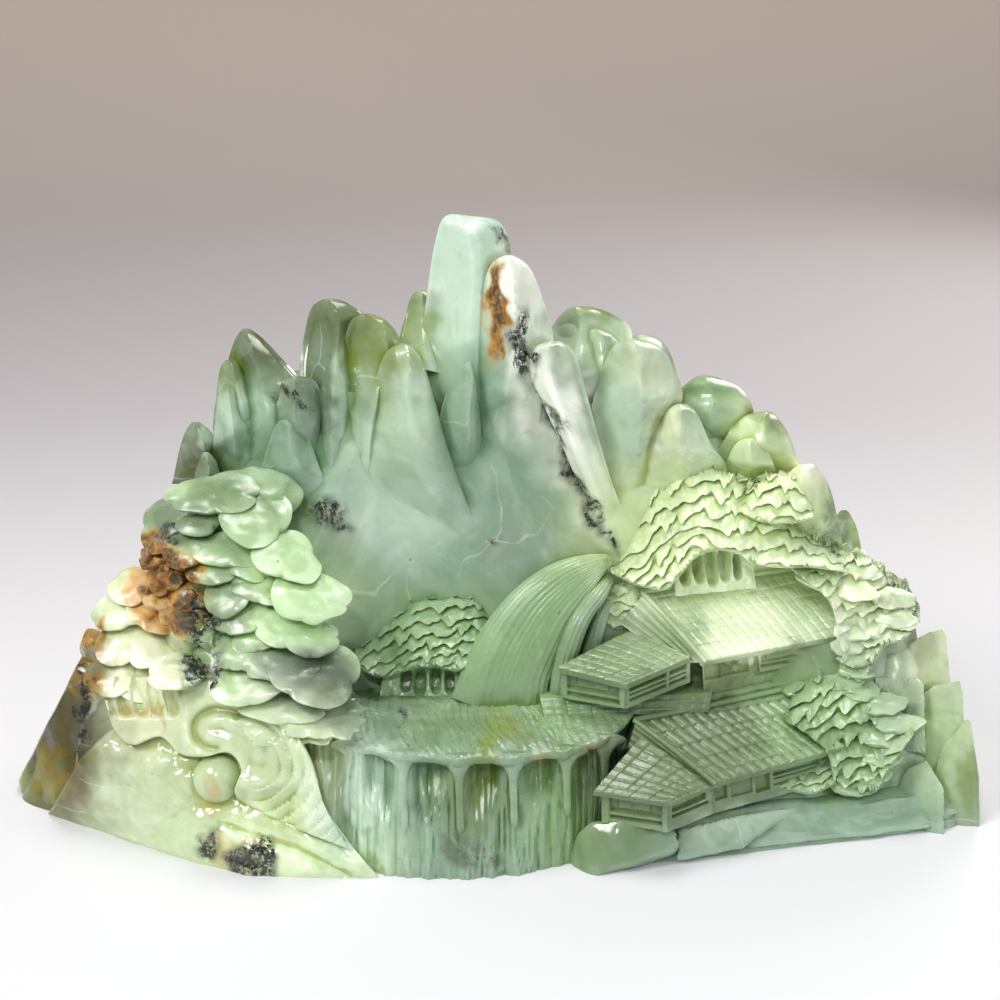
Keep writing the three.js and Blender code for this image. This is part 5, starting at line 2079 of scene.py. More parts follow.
        path = [(55, -30, 5), (46, -34, -5), (34, -42, -12), (22, -54, -17)]
        path += [(12, -69, -21), (4, -85, -25), (-1, -104, -29)]
        broad = ribbon(path, [6, 15, 26, 34, 40, 43, 48], 0.30, grooves, 90, 190)
        narrow = ribbon(
            [(54, -40, 0), (49, -47, -10), (41, -58, -19), (35, -72, -24), (31, -88, -27), (30, -103, -28)],
            [6, 9, 10, 11, 11, 12],
            0.8,
            lambda s, t: 0.45 * np.abs(np.sin(s * 7 + t)),
            70,
            60,
        )
        behind = ribbon(
            [(56, -46, 6), (51, -57, -6), (47, -70, -13), (44, -84, -18), (43, -98, -20)],
            [7, 8, 9, 9, 11],
            0.9,
            lambda s, t: 0.4 * np.abs(np.sin(s * 7 - t)),
            50,
            40,
        )
        return [broad, narrow, behind]

    def forms(self) -> list[Form]:
        """Curtain, pool, posts and falls."""
        return [self.curtain(), self.pool()] + [self.post(x) for x in self.posts] + self.fall()


@dataclass(frozen=True)
class StemWall:
    """A wall with deep oval hollows, as under the boughs of a pine.

    corners are its four corners on the board. holes are the hollows, each its middle along, its middle down,
    its half width and its half height in millimetres. deep is how deep they go.
    """

    corners: tuple[Place, ...]
    holes: tuple[tuple[float, float, float, float], ...]
    deep: float = 9.0
    thick: float = 12.0

    def relief(self, x: Array, y: Array) -> Array:
        """Level, with each hollow sunk by an eased share of its oval.

        Args:
            x: millimetres along the wall.
            y: millimetres down it.

        Returns:
            The height there.
        """
        sunk = np.zeros_like(x)
        for mx, my, hx, hy in self.holes:
            away = (np.abs((x - mx) / hx) ** 2.6 + np.abs((y - my) / hy) ** 2.6) ** (1 / 2.6)
            sunk = np.maximum(sunk, self.deep * (1 - ease((away - 0.62) / 0.5)))
        return -sunk + 0.5 * swell(pair(x, y), 9, 31)

    def form(self) -> Form:
        """The wall as a carved plate."""
        return patch(self.corners, self.relief, 0.55, self.thick + self.deep, BACK_AND_DOWN)


def backed(front: Array, pole: Array, back: float) -> Form:
    """A closed form from one grid: the sheet, a wall from its rim straight back, and a cone to a hidden pole.

    Args:
        front: the places of the sheet, as rows by columns by 3.
        pole: the place of the hidden pole.
        back: how far the wall goes back.

    Returns:
        The closed form.
    """
    rows, cols = front.shape[:2]
    sheet, rim = sheet_faces(rows, cols)
    flat = front.reshape(-1, 3)
    ring = rows * cols + np.arange(len(rim))
    after = np.roll(ring, -1)
    wall = squares(rim, ring, after, np.roll(rim, -1))
    cone = np.stack([ring, np.full(len(rim), ring[-1] + 1), after], -1)
    points = np.concatenate([flat, flat[rim] + [0, back, 0], [pole]])
    return Form(points, np.concatenate([sheet, wall, cone])).turned_out()


@dataclass(frozen=True)
class Crown:
    """A clump of foliage cut as wavy shelves, one below the other, between two curves on the board.

    upper and lower are the curves from left to right, as across and up. depth is the depth of the face at
    the upper and at the lower curve, and bulge how far its middle comes forward. spacing is the height of a
    shelf, leaf the length of one wave along it, and reach how far a shelf stands out. flow is how far the
    shelves follow the upper curve, 0 level, 1 wholly, and rise how much they climb to the right besides. tips
    is how far their ends stand out, in shelves, and step is how far apart the points along a shelf are.
    """

    upper: tuple[Spot, ...]
    lower: tuple[Spot, ...]
    depth: Spot
    bulge: float = 6.0
    spacing: float = 5.2
    leaf: float = 9.5
    reach: float = 4.4
    seed: int = 1
    flow: float = 0.5
    rise: float = 0.0
    tips: float = 0.9
    step: float = 0.72

    def wave(self, a: Array, shelf: Array) -> Array:
        """How far the hem hangs down along a shelf, about -1 to 1.

        It is a sine, bent and doubled. Each shelf has its own phase, read straight between the shelves.

        Args:
            a: across on the board.
            shelf: the number of the shelf, and the share down to the next one.

        Returns:
            One number for each place.
        """
        rng = np.random.default_rng(self.seed)
        shelf = shelf + 0 * a
        most = 30
        start = np.interp(shelf, np.arange(most), np.cumsum(rng.uniform(1.2, 4.6, most)))
        drift = swell(pair(a, shelf * self.spacing), 34, self.seed)
        phase = TAU * a / self.leaf + start + 1.6 * drift
        size = 1 + 0.55 * swell(pair(a, shelf * self.spacing * 2), 22, self.seed + 40)
        return size * (0.85 * np.sin(phase + 0.5 * np.sin(phase)) + 0.28 * np.sin(2 * phase + 2 * drift))

    def form(self) -> Form:
        """The shelves as rows of a grid that run along them: out to each hem, round it and back under it."""
        share = np.array([0.0, 0.08, 0.24, 0.42, 0.6, 0.78, 0.92, 1.0, 1.0])[None, :]
        stand = np.array([0.05, 0.34, 0.52, 0.66, 0.79, 0.91, 0.98, 1.0, 0.74])[None, :]
        tuck = np.array([0.9, 0, 0, 0, 0, 0, 0, 0, 0.3])[None, :]
        outer, inner = np.asarray(self.upper, float), np.asarray(self.lower, float)
        wide = np.linalg.norm(np.diff(outer, axis=0), axis=1).sum()
        p = np.linspace(0, 1, int(wide / self.step))
        top, bottom = along(self.upper, p), along(self.lower, p)
        centre = (float(top[:, 0].mean()), float(top[:, 1].max()))
        line = centre[1] * (1 - self.flow) + self.flow * top[:, 1] + self.rise * (top[:, 0] - centre[0])
        lead = max(float((top[:, 1] - line).max()) / self.spacing, 0) + 1
        count = int(lead + float((line - bottom[:, 1]).max()) / self.spacing) + 2
        number = np.arange(count)[:, None]
        shelf = (number + share).ravel()[:, None] + 0 * p
        out, under, part = (np.repeat(v, count, 0).ravel()[:, None] for v in (stand, tuck, share))
        fall = np.clip((shelf - lead) * self.spacing / np.maximum(top[:, 1] - bottom[:, 1], 4), 0, 1)
        a = top[:, 0] * (1 - fall) + bottom[:, 0] * fall
        wave = self.wave(a, shelf)
        places = pair(a, shelf * self.spacing)
        slant = line + self.spacing * 0.32 * swell(places, 46, self.seed + 3)
        u = slant - self.spacing * (shelf - lead + 0.27 * wave * part**0.5) + under
        row = (line - top[:, 1]) / self.spacing + lead
        jut = np.mod(row - 0.27 * self.wave(top[:, 0], row), 1) ** 0.7 - 0.4
        steep = np.abs(np.gradient(top[:, 1])) / np.linalg.norm(np.gradient(top, axis=0), axis=1)
        low = np.minimum(bottom[:, 1], top[:, 1] - 1)
        high = top[:, 1] + self.spacing * (0.22 * wave + self.tips * jut * steep)
        inside = ease(np.minimum(u - low, high - u + 0.9) / 0.9)
        u = np.clip(u, low, high)
        q = np.clip((top[:, 1] - u) / np.maximum(top[:, 1] - bottom[:, 1], 4), 0, 1)
        round_off = np.sqrt(np.clip(1 - (2 * p - 1) ** 2, 0, 1))
        face = self.depth[0] + (self.depth[1] - self.depth[0]) * q
        face = face - self.bulge * round_off * (0.35 + 0.65 * np.sqrt(1 - (2 * q - 1) ** 2))
        size = 1 + 0.3 * swell(pair(a, u), 24, self.seed + 9)
        face = face - self.reach * (out * size + 0.30 * wave * part**1.5) * inside
        face = face - 0.6 * swell(pair(a, u), 8, self.seed + 5)
        grid = BOARD.seen(a, u, face)
        height = (outer[:, 1].mean() + inner[:, 1].mean()) / 2
        pole = BOARD.seen(outer[:, 0].mean(), height, max(self.depth) + 26)
        return backed(grid, pole, 7.0)


@dataclass
class Pine(SubAssembly):
    """A pine of ruffled shelves on oval hearts of stone, over walls of stems with deep hollows.

    hearts are the middle and the three half sizes of each, crowns the clumps of shelves, and tongues across,
    up, depth, half width and roll of the pointed pads that stand out on the right.
    """

    hearts: tuple[Heart, ...] = ()
    crowns: tuple[Crown, ...] = ()
    tongues: tuple[tuple[float, float, float, float, float], ...] = ()
    walls: tuple[StemWall, ...] = ()

    def tongue(self, a: float, u: float, depth: float, half: float, roll: float) -> Form:
        """A narrow pad with one point on the right."""
        return Pad((a, u, depth), (half, 0.62 * half), roll, 30, Edge.TONGUE, 2, 2.0, 0.9, 18, 52).form()

    def forms(self) -> list[Form]:
        """The hearts, the crowns, the tongues and the walls."""
        made = [lump(*heart) for heart in self.hearts] + [crown.form() for crown in self.crowns]
        made += [self.tongue(*tongue) for tongue in self.tongues]
        return made + [wall.form() for wall in self.walls]


@dataclass
class CentrePine(Pine):
    """The ruffled pine beside the fall, with dark hollows between the stems under it."""

    crowns: tuple[Crown, ...] = (
        Crown(
            ((-73, -74), (-66.6, -66.6), (-59, -61), (-50, -56), (-43.8, -51.4), (-33, -49.7), (-20, -48.6),
             (-10, -50.3), (-5, -56), (0, -63)),
            ((-73, -77), (-67.7, -86), (-58, -89), (-50, -86.5), (-41.7, -84.5), (-32, -84), (-22, -86),
             (-15, -84), (-6, -77), (1, -66)),
            (8, -22), 6, 5.8, 10.5, 3.0, 3, 0.5, 0.06,
        ),
    )
    hearts: tuple[Heart, ...] = (((-36, -72, 14), (32, 20, 18)),)
    walls: tuple[StemWall, ...] = (
        StemWall(
            ((-58, -82, -16), (-12, -82, -16), (-10, -98, -24), (-60, -98, -24)),
            ((12, 8, 3, 6), (19, 9, 3.4, 7), (27, 8, 3, 7), (34, 9, 2.6, 6)),
        ),
    )


@dataclass
class UpperPine(Pine):
    """The broad ruffled pine over the upper hall, its shelves falling away to either side."""

    crowns: tuple[Crown, ...] = (
        Crown(
            ((54, -33), (61, -21), (69, -9), (78, 4), (92, 13), (104, 17), (116, 12), (130, 6), (144, 2),
             (155, -6), (163, -18), (172, -29)),
            ((55, -36), (64, -41), (73, -44), (83, -45), (91, -37), (98, -29), (108, -25.5), (118, -27),
             (126, -32), (140, -34), (156, -34), (172, -36)),
            (22, -8), 9, 7.4, 12.5, 3.4, 11, 0.45, 0.12, 1.0,
        ),
        Crown(
            ((120, 2), (127, 8), (135, 11.5), (143, 11.5), (151, 7), (157, -3)),
            ((120, -6), (127, -10), (135, -12), (143, -12), (151, -11), (157, -9)),
            (18, 0), 8, 7.2, 11.5, 3.4, 13, 0.3,
        ),
        Crown(
            ((48, -47), (54, -42), (62, -41), (72, -47)),
            ((48, -52), (55, -64), (64, -66), (72, -56)),
            (8, -4), 5, 5.4, 8.5, 3.0, 16,
        ),
    )
    hearts: tuple[Heart, ...] = (
        ((100, -10, 30), (34, 20, 22)),
        ((132, -6, 34), (28, 18, 18)),
        ((64, -48, 14), (14, 16, 16)),
    )
    walls: tuple[StemWall, ...] = (
        StemWall(
            ((86, -24, -3), (126, -22, 5), (128, -44, 4), (88, -48, -10)),
            ((6, 11, 3.2, 9), (13.5, 10, 3.2, 9), (20.5, 11, 3.4, 10.5), (27.5, 10, 3.2, 9.5),
             (34, 12, 2.2, 7)),
        ),
    )


@dataclass
class LeafPines(Pine):
    """The two pines of pointed leaves at the right end, one above the other, on fluted stems."""

    crowns: tuple[Crown, ...] = (
        Crown(
            ((145, -31), (157, -28), (169, -28), (180, -28), (190, -34), (199, -41), (206, -49), (210, -57)),
            ((145, -34), (158, -43), (166, -53), (169, -67), (171, -82), (176, -93), (184, -88), (192, -74),
             (202, -70), (210, -61)),
            (16, -10), 7, 7.4, 11.0, 3.8, 21, 0.25, 0.22, 0.8,
        ),
        Crown(
            ((143, -107), (147, -94), (158, -89), (169, -90), (181, -92), (191, -97), (200, -104),
             (207, -112)),
            ((143, -111), (154, -117), (164, -127), (167, -139), (176, -147), (188, -146), (196, -133),
             (207, -117)),
            (-8, -38), 6, 7.6, 11.5, 4.0, 26, 0.2, 0.30, 0.8,
        ),
        Crown(
            ((137, -136), (147, -131), (157, -129), (168, -126)),
            ((137, -143), (147, -146), (157, -147), (168, -142)),
            (-30, -44), 3, 5.0, 8.0, 3.0, 27, 0.3, 0.2, 0.8,
        ),
    )
    hearts: tuple[Heart, ...] = (
        ((174, -56, 34), (24, 18, 34)),
        ((196, -100, 12), (20, 22, 36)),
        ((172, -112, 4), (22, 18, 26)),
    )
    tongues: tuple[tuple[float, float, float, float, float], ...] = (
        (158, -38, 2, 13, 10),
        (180, -35, 6, 10, 14),
        (177, -45, -4, 12, 4),
        (196, -49, 2, 12, 8),
        (197, -59, -5, 11, 0),
        (190, -65, -8, 10, 4),
        (176, -66, -9, 10, 2),
        (173, -73, -11, 9, 6),
        (177, -79, -12, 9, 0),
        (177, -85, -13, 9, 4),
        (174, -91, -14, 9, 8),
        (150, -95, -15, 9, -8),
        (161, -92, -14, 9, -10),
        (171, -91, -14, 10, -4),
        (179, -95, -16, 11, 4),
        (190, -102, -20, 12, -4),
        (198, -111, -25, 12, 0),
        (190, -119, -30, 11, 2),
        (189, -128, -34, 11, -2),
        (184, -136, -37, 11, 4),
        (174, -143, -40, 10, 10),
    )
    walls: tuple[StemWall, ...] = (
        StemWall(
            ((184, -60, 4), (203, -62, 12), (206, -88, 6), (184, -88, -4)),
            ((6, 14, 3.2, 13), (13, 15, 3.2, 12), (19, 16, 2.6, 10)),
            6,
        ),
        StemWall(
            ((188, -89, -6), (212, -88, -2), (212, -140, -18), (190, -138, -30)),
            ((8, 34, 3, 20), (15, 40, 2.6, 16), (21, 26, 3, 18)),
            4,
        ),
    )


@dataclass(frozen=True)
class Panel:
    """A rectangle of a wall's relief: its left, right, top and bottom in millimetres, and its height."""

    left: float
    right: float
    top: float
    bottom: float
    height: float


# The walls of the two halls: left, right, top, bottom and height of each panel
UPPER_WALL = (
    (0, 80, 0, 2, 1.2),
    (1, 10, 2, 13, -1.4),
    (11, 26, 2, 12, -1.2),
    (17.5, 18.3, 2, 12, -1.5),
    (29, 32, 2, 14, -1.6),
    (34, 71, 2, 9, -1.6),
    (37, 68, 3.4, 8, -1),
    (33, 74, 10.2, 11.6, -1.7),
    (30, 76, 14.2, 15.2, -1.4),
)
LOWER_WALL = (
    (0, 80, 0, 1.8, 1),
    (2, 9, 2, 12, -1.6),
    (3.4, 7.6, 3, 8, -1.2),
    (11.5, 23, 2, 13, -1.2),
    (25, 33, 1, 14, -2.1),
    (36, 62, 1, 7.6, -1.7),
    (38.5, 60, 2.2, 6.6, -1.2),
    (36, 66, 8.8, 9.8, -1.6),
    (36, 66, 12, 13, -1.2),
)


def framed(panels: Sequence[Panel]) -> Relief:
    """A wall's relief from panels, each laid over the ones before it, with a faint unevenness."""

    def relief(x: Array, y: Array) -> Array:
        """The height of the wall.

        Args:
            x: millimetres along it.
            y: millimetres down it.

        Returns:
            The height there.
        """
        height = np.zeros_like(x)
        for panel in panels:
            inside = (x > panel.left) & (x < panel.right) & (y > panel.top) & (y < panel.bottom)
            height = np.where(inside, panel.height, height)
        return height + 0.18 * swell(pair(x, y), 6, 41)

    return relief


def tiles(column: float, row: float, lap: float, seed: int, cut: float = 0.62) -> Relief:
    """A tiled roof's relief: rows that rise to a lip and drop, parted by grooves, each tile a bit uneven.

    Args:
        column: the width of a tile along the ridge.
        row: the length of a tile down the slope.
        lap: the height of the lip.
        seed: which unevenness.
        cut: the depth of the groove between two columns, wider where it is deeper.

    Returns:
        A function of millimetres along the ridge and down the slope.
    """

    def relief(x: Array, y: Array) -> Array:
        """The height of the roof.

        Args:
            x: millimetres along the ridge.
            y: millimetres down the slope.

        Returns:
            The height there.
        """
        bent_x = x + 0.4 * np.sin(y / 9 + seed) + 0.3 * np.sin(x / 7)
        bent_y = y + 0.4 * np.sin(x / 11 + seed)
        i, j = np.floor(bent_x / column), np.floor(bent_y / row)
        u, v = bent_x / column - i, bent_y / row - j
        lip = lap * (v - 0.5) * ease((1 - v) * 9)
        jitter = np.sin(i * 12.9 + j * 78.2 + seed)
        lean = 0.10 * np.sin(i * 5.1 + j * 3.7 + seed) * (u - 0.5)
        groove = cut * np.exp(-(((0.5 - np.abs(u - 0.5)) * column / (0.25 + 0.4 * cut)) ** 2))
        return lip + 0.16 * jitter + lean - groove

    return relief


def rod(path: Rows, widths: Sequence[float]) -> Form:
    """A round rod, as on a ridge or along the edge of a roof."""
    return ribbon(path, widths, 1, rows=40, sides=14)


def slats(corners: Rows) -> Form:
    """The end of a roof: a plate with level grooves, each the root of a sine down it."""
    return patch(corners, lambda x, y: 0.7 * np.abs(np.sin(y * 0.9)) ** 0.6, 0.6, 12, BACK_AND_DOWN)


def panelled(corners: Rows, thick: float, panels: Rows) -> Form:
    """An upright wall with panels, each given as left, right, top, bottom and height."""
    return patch(corners, framed([Panel(*panel) for panel in panels]), 0.64, thick, BACK)


@dataclass
class Halls(SubAssembly):
    """The two tiled halls, one above the other, each with a corner pavilion, on the terrace between them."""

    flowers: tuple[Spot, ...] = ((14.5, 5), (21.5, 5.5), (18, 9))

    def flower_wall(self, x: Array, y: Array) -> Array:
        """The upper hall's wall: its panels, with three small flower heads raised on the second one.

        Args:
            x: millimetres along the wall.
            y: millimetres down it.

        Returns:
            The height there.
        """
        height = framed([Panel(*panel) for panel in UPPER_WALL])(x, y)
        for mx, my in self.flowers:
            away = np.hypot(x - mx, y - my)
            turn = np.arctan2(y - my, x - mx)
            height = height + 1.3 * (1 - ease((away - 1.6 - 0.4 * np.cos(5 * turn)) / 0.9))
        return height

    def upper(self) -> list[Form]:
        """The upper hall: roof, gable, wall and ridge, and the pavilion at its left corner."""
        eave = [(72, -46, 0), (152, -34, 30), (179, -66, 4), (102, -80.5, -31)]
        below = [(101, -79, -25), (176, -65, 9), (177, -83, 9), (102, -97, -25)]
        return [
            patch(eave, tiles(5.4, 4.6, 0.62, 1), 0.64, 5),
            patch(below, self.flower_wall, 0.66, 16, BACK),
            slats([(72, -47, -2), (103, -81, -29), (90, -82, -27), (60, -62, -8)]),
            rod([(71, -46, -1), (112, -39, 14), (153, -33.5, 30)], [3, 3.2, 3]),
            rod([(71, -46, -2), (87, -63, -16), (103, -81, -31)], [2.6, 2.8, 3]),
        ] + self.upper_pavilion()

    def upper_pavilion(self) -> list[Form]:
        """The upper corner pavilion: a tiled roof, and two faces with a window and rails."""
        eave = [(29, -83.5, -40), (66, -64.5, -10), (95, -78.5, -30), (63.5, -92, -49)]
        left = [(31, -85.5, -37), (62.5, -91, -44.5), (62.5, -104.5, -46), (31, -99, -38)]
        left_panels = [(3, 28, 0.5, 8.4, -2), (7.5, 23.5, 1.5, 7.2, -1.4), (3, 29, 10.4, 11.8, -2.1)]
        left_panels += [(-1, 3, -1, 14, 0.6), (28.6, 33, -1, 14, 0.8)]
        right = [(62.5, -91, -44.5), (95, -78, -28), (95, -91, -28), (62.5, -104.5, -46)]
        right_panels = [(3, 36, 1, 5.6, -1.9), (6, 30, 1.4, 4.4, -1.5), (3, 36, 7.4, 8.4, -1.6)]
        right_panels += [(3, 36, 10.2, 11.2, -1.7), (24, 25.4, 0, 12, 0.5)]
        roof = patch(eave, tiles(5.2, 4.6, 0.36, 3, 0.4), 0.64, 3.6)
        return [roof, panelled(left, 18, left_panels), panelled(right, 18, right_panels)]

    def lower(self) -> list[Form]:
        """The lower hall: roof, gable, wall and ridge, and its pavilion."""
        eave = [(68, -110, -40), (139, -95.5, -12), (172, -123, -38), (107, -141.5, -69)]
        below = [(105, -140, -62), (170, -122, -32), (171, -139, -32), (106, -157, -62)]
        wall = framed([Panel(*panel) for panel in LOWER_WALL])
        return [
            patch(eave, tiles(5.6, 5.2, 0.30, 5, 1.25), 0.64, 5),
            patch(below, wall, 0.66, 16, BACK),
            slats([(68, -111, -42), (108, -142, -67), (92, -142, -64), (64, -124, -50)]),
            rod([(67, -110, -40), (103, -103, -27), (140, -95, -12)], [3.4, 3.4, 3.4]),
            rod([(67, -110, -42), (88, -126, -56), (108, -142, -69)], [2.8, 3, 3.2]),
        ] + self.lower_pavilion()

    def lower_pavilion(self) -> list[Form]:
        """The lower corner pavilion: a tiled roof, and two faces with a window and rails."""
        eave = [(47, -145.5, -77), (70, -119, -50), (109, -141.5, -66), (85.5, -151.5, -83)]
        left = [(51, -146, -73), (84, -150.5, -79), (84, -166, -80), (51, -161, -74)]
        left_panels = [(4, 29, 0.8, 9.4, -2.1), (8, 24, 2, 8, -1.4), (4, 30, 11.6, 13.2, -2.2)]
        left_panels += [(-1, 3.4, -1, 17, 0.6), (29.5, 34, -1, 17, 0.9)]
        right = [(84, -150.5, -79), (106, -141, -63), (106, -157, -63), (84, -166, -80)]
        right_panels = [(3, 24, 2, 7, -1.9), (6, 20, 2.6, 6, -1.4), (3, 26, 9, 10.4, -1.7)]
        roof = patch(eave, tiles(5.0, 4.8, 0.26, 7, 0.5), 0.64, 3.6)
        return [roof, panelled(left, 20, left_panels), panelled(right, 20, right_panels)]

    def ledge_relief(self, x: Array, y: Array) -> Array:
        """A row of short upright cuts, the root of a sine along the ledge, with faint level waves.

        Args:
            x: millimetres along the ledge.
            y: millimetres down it.

        Returns:
            The height there.
        """
        cuts = 0.9 * np.abs(np.sin(x * math.pi / 6.3)) ** 0.35 * ease(y / 3)
        return cuts + 0.3 * np.sin(y * 1.7)

    def step_relief(self, x: Array, y: Array) -> Array:
        """Level waves with a soft unevenness."""
        return 1.2 * np.sin(y * 0.9) + 0.6 * swell(pair(x, y), 14, 45)

    def forms(self) -> list[Form]:
        """Both halls, the stone behind their walls, and the terrace with its row of short upright cuts."""
        ledge = [(20, -99, -36), (106, -96, -26), (104, -106, -30), (22, -109, -44)]
        step = [(102, -97, -24), (180, -83, 6), (182, -95, 0), (106, -112, -32)]
        terrace = [
            patch(ledge, self.ledge_relief, 0.55, 18, BACK),
            patch(step, self.step_relief, 0.7, 20, BACK),
        ]
        upper = [(70, -56, 2), (150, -42, 34), (176, -68, 16), (104, -88, -16)]
        upper += [(104, -104, -12), (176, -94, 20), (70, -100, 30)]
        corner = [(34, -86, -28), (62, -94, -36), (96, -82, -14), (96, -96, -14)]
        corner += [(62, -107, -36), (34, -101, -28), (60, -84, 20)]
        lower = [(68, -118, -30), (136, -104, 0), (168, -126, -24), (108, -146, -54)]
        lower += [(108, -160, -54), (168, -146, -20)]
        lower += [(70, -130, 10), (140, -126, 20), (160, -150, 10), (100, -164, -10)]
        last = [(54, -148, -64), (84, -154, -70), (106, -146, -50), (106, -160, -50)]
        last += [(84, -168, -70), (54, -163, -64), (70, -140, -20), (100, -150, -10)]
        cores = [upper, corner, lower, last]
        blocks = [rock(board_points(core), 26, 50, 0, 20, 1) for core in cores]
        return self.upper() + self.lower() + terrace + blocks


@dataclass
class RightRocks(SubAssembly):
    """The broad shards at the right end, and the base rock along the front in three slanting blocks."""

    shards: tuple[tuple[Place, ...], ...] = (
        (
            (203, -73, 6), (210, -68, 3), (221, -64.4, -2), (223, -68, -4), (225, -90, -12), (224, -125, -20),
            (200, -125, -6), (201, -95, 1),
        ),
        (
            (211.5, -97, -8), (217, -92.5, -10), (230, -90.2, -14), (231.5, -96, -16), (232.6, -150, -34),
            (211, -150, -24), (210, -120, -15),
        ),
        (
            (184, -93, 0), (190, -90, -1), (209, -89.4, -9), (212, -92, -11), (211, -112, -20),
            (213, -127, -27), (198, -124, -17), (186, -110, -7),
        ),
        (
            (233.2, -109.4, -23), (227, -117, -22), (219, -126, -21), (216, -146, -28), (216, -166, -35),
            (240, -163, -38), (239.4, -138, -31), (235.5, -111, -24),
        ),
        (
            (213, -130, -28), (204, -134, -26), (197, -146, -28), (194, -168, -38), (222, -168, -46),
            (222, -144, -37),
        ),
    )

    def shard(self, corners: tuple[Place, ...], seed: int) -> Form:
        """One shard: the worn block round its corners and the same corners 24 mm farther back.

        Args:
            corners: across, up and depth of the front's corners.
            seed: which unevenness.

        Returns:
            The closed form.
        """
        front = np.array(corners)
        both = np.concatenate([front, front + [0, -4, 24]])
        return rock(board_points(both), 60, 200, 0.4, 14, seed)

    def forms(self) -> list[Form]:
        """The base block, the boulder, the middle, long and end blocks before it, and the shards."""
        base = [(36, -184, -70), (72, -186, -76), (135, -173, -58), (214, -165, -43), (234, -155, -34)]
        base += [(60, -162, -70), (130, -154, -50), (200, -142, -26), (226, -146, -28)]
        base += [(60, -150, -20), (210, -140, 10), (60, -176, 0), (230, -150, 10)]
        boulder = [(33.5, -176, -70), (39, -166, -70), (46, -160.5, -72), (62, -159.4, -76), (91, -166, -74)]
        boulder += [(91, -176, -77), (69, -182, -83), (48, -188.5, -87), (35, -184, -78)]
        boulder += [(60, -160, -44), (60, -190, -50)]
        middle = [(88, -165, -70), (100, -163, -66), (124, -157, -58), (153, -153, -48), (122, -171, -66)]
        middle += [(121, -174, -66), (88, -181, -77), (120, -158, -30), (150, -156, -20), (100, -180, -40)]
        long = [(119, -172.5, -64), (128, -164, -58), (158, -156.5, -48), (192, -149.5, -38)]
        long += [(216, -147, -32), (217, -164, -43.5), (150, -169, -56), (121, -174.5, -64.5)]
        long += [(160, -158, -10), (214, -150, 0)]
        end = [(190, -150, -30), (214, -138, -26), (236, -142, -20), (244, -152, -14), (246, -158, -16)]
        end += [(226, -166, -40), (196, -168, -46), (220, -140, 20), (244, -156, 20)]
        wanted = (
            (base, 44, 40, 0.8, 26, 5),
            (boulder, 36, 22, 0.6, 18, 6),
            (middle, 40, 50, 0.7, 15, 7),
            (long, 50, 50, 0.9, 17, 9),
            (end, 40, 60, 0.7, 16, 8),
        )
        blocks = [rock(board_points(corners), *worn) for corners, *worn in wanted]
        return blocks + [self.shard(corners, 30 + k) for k, corners in enumerate(self.shards)]


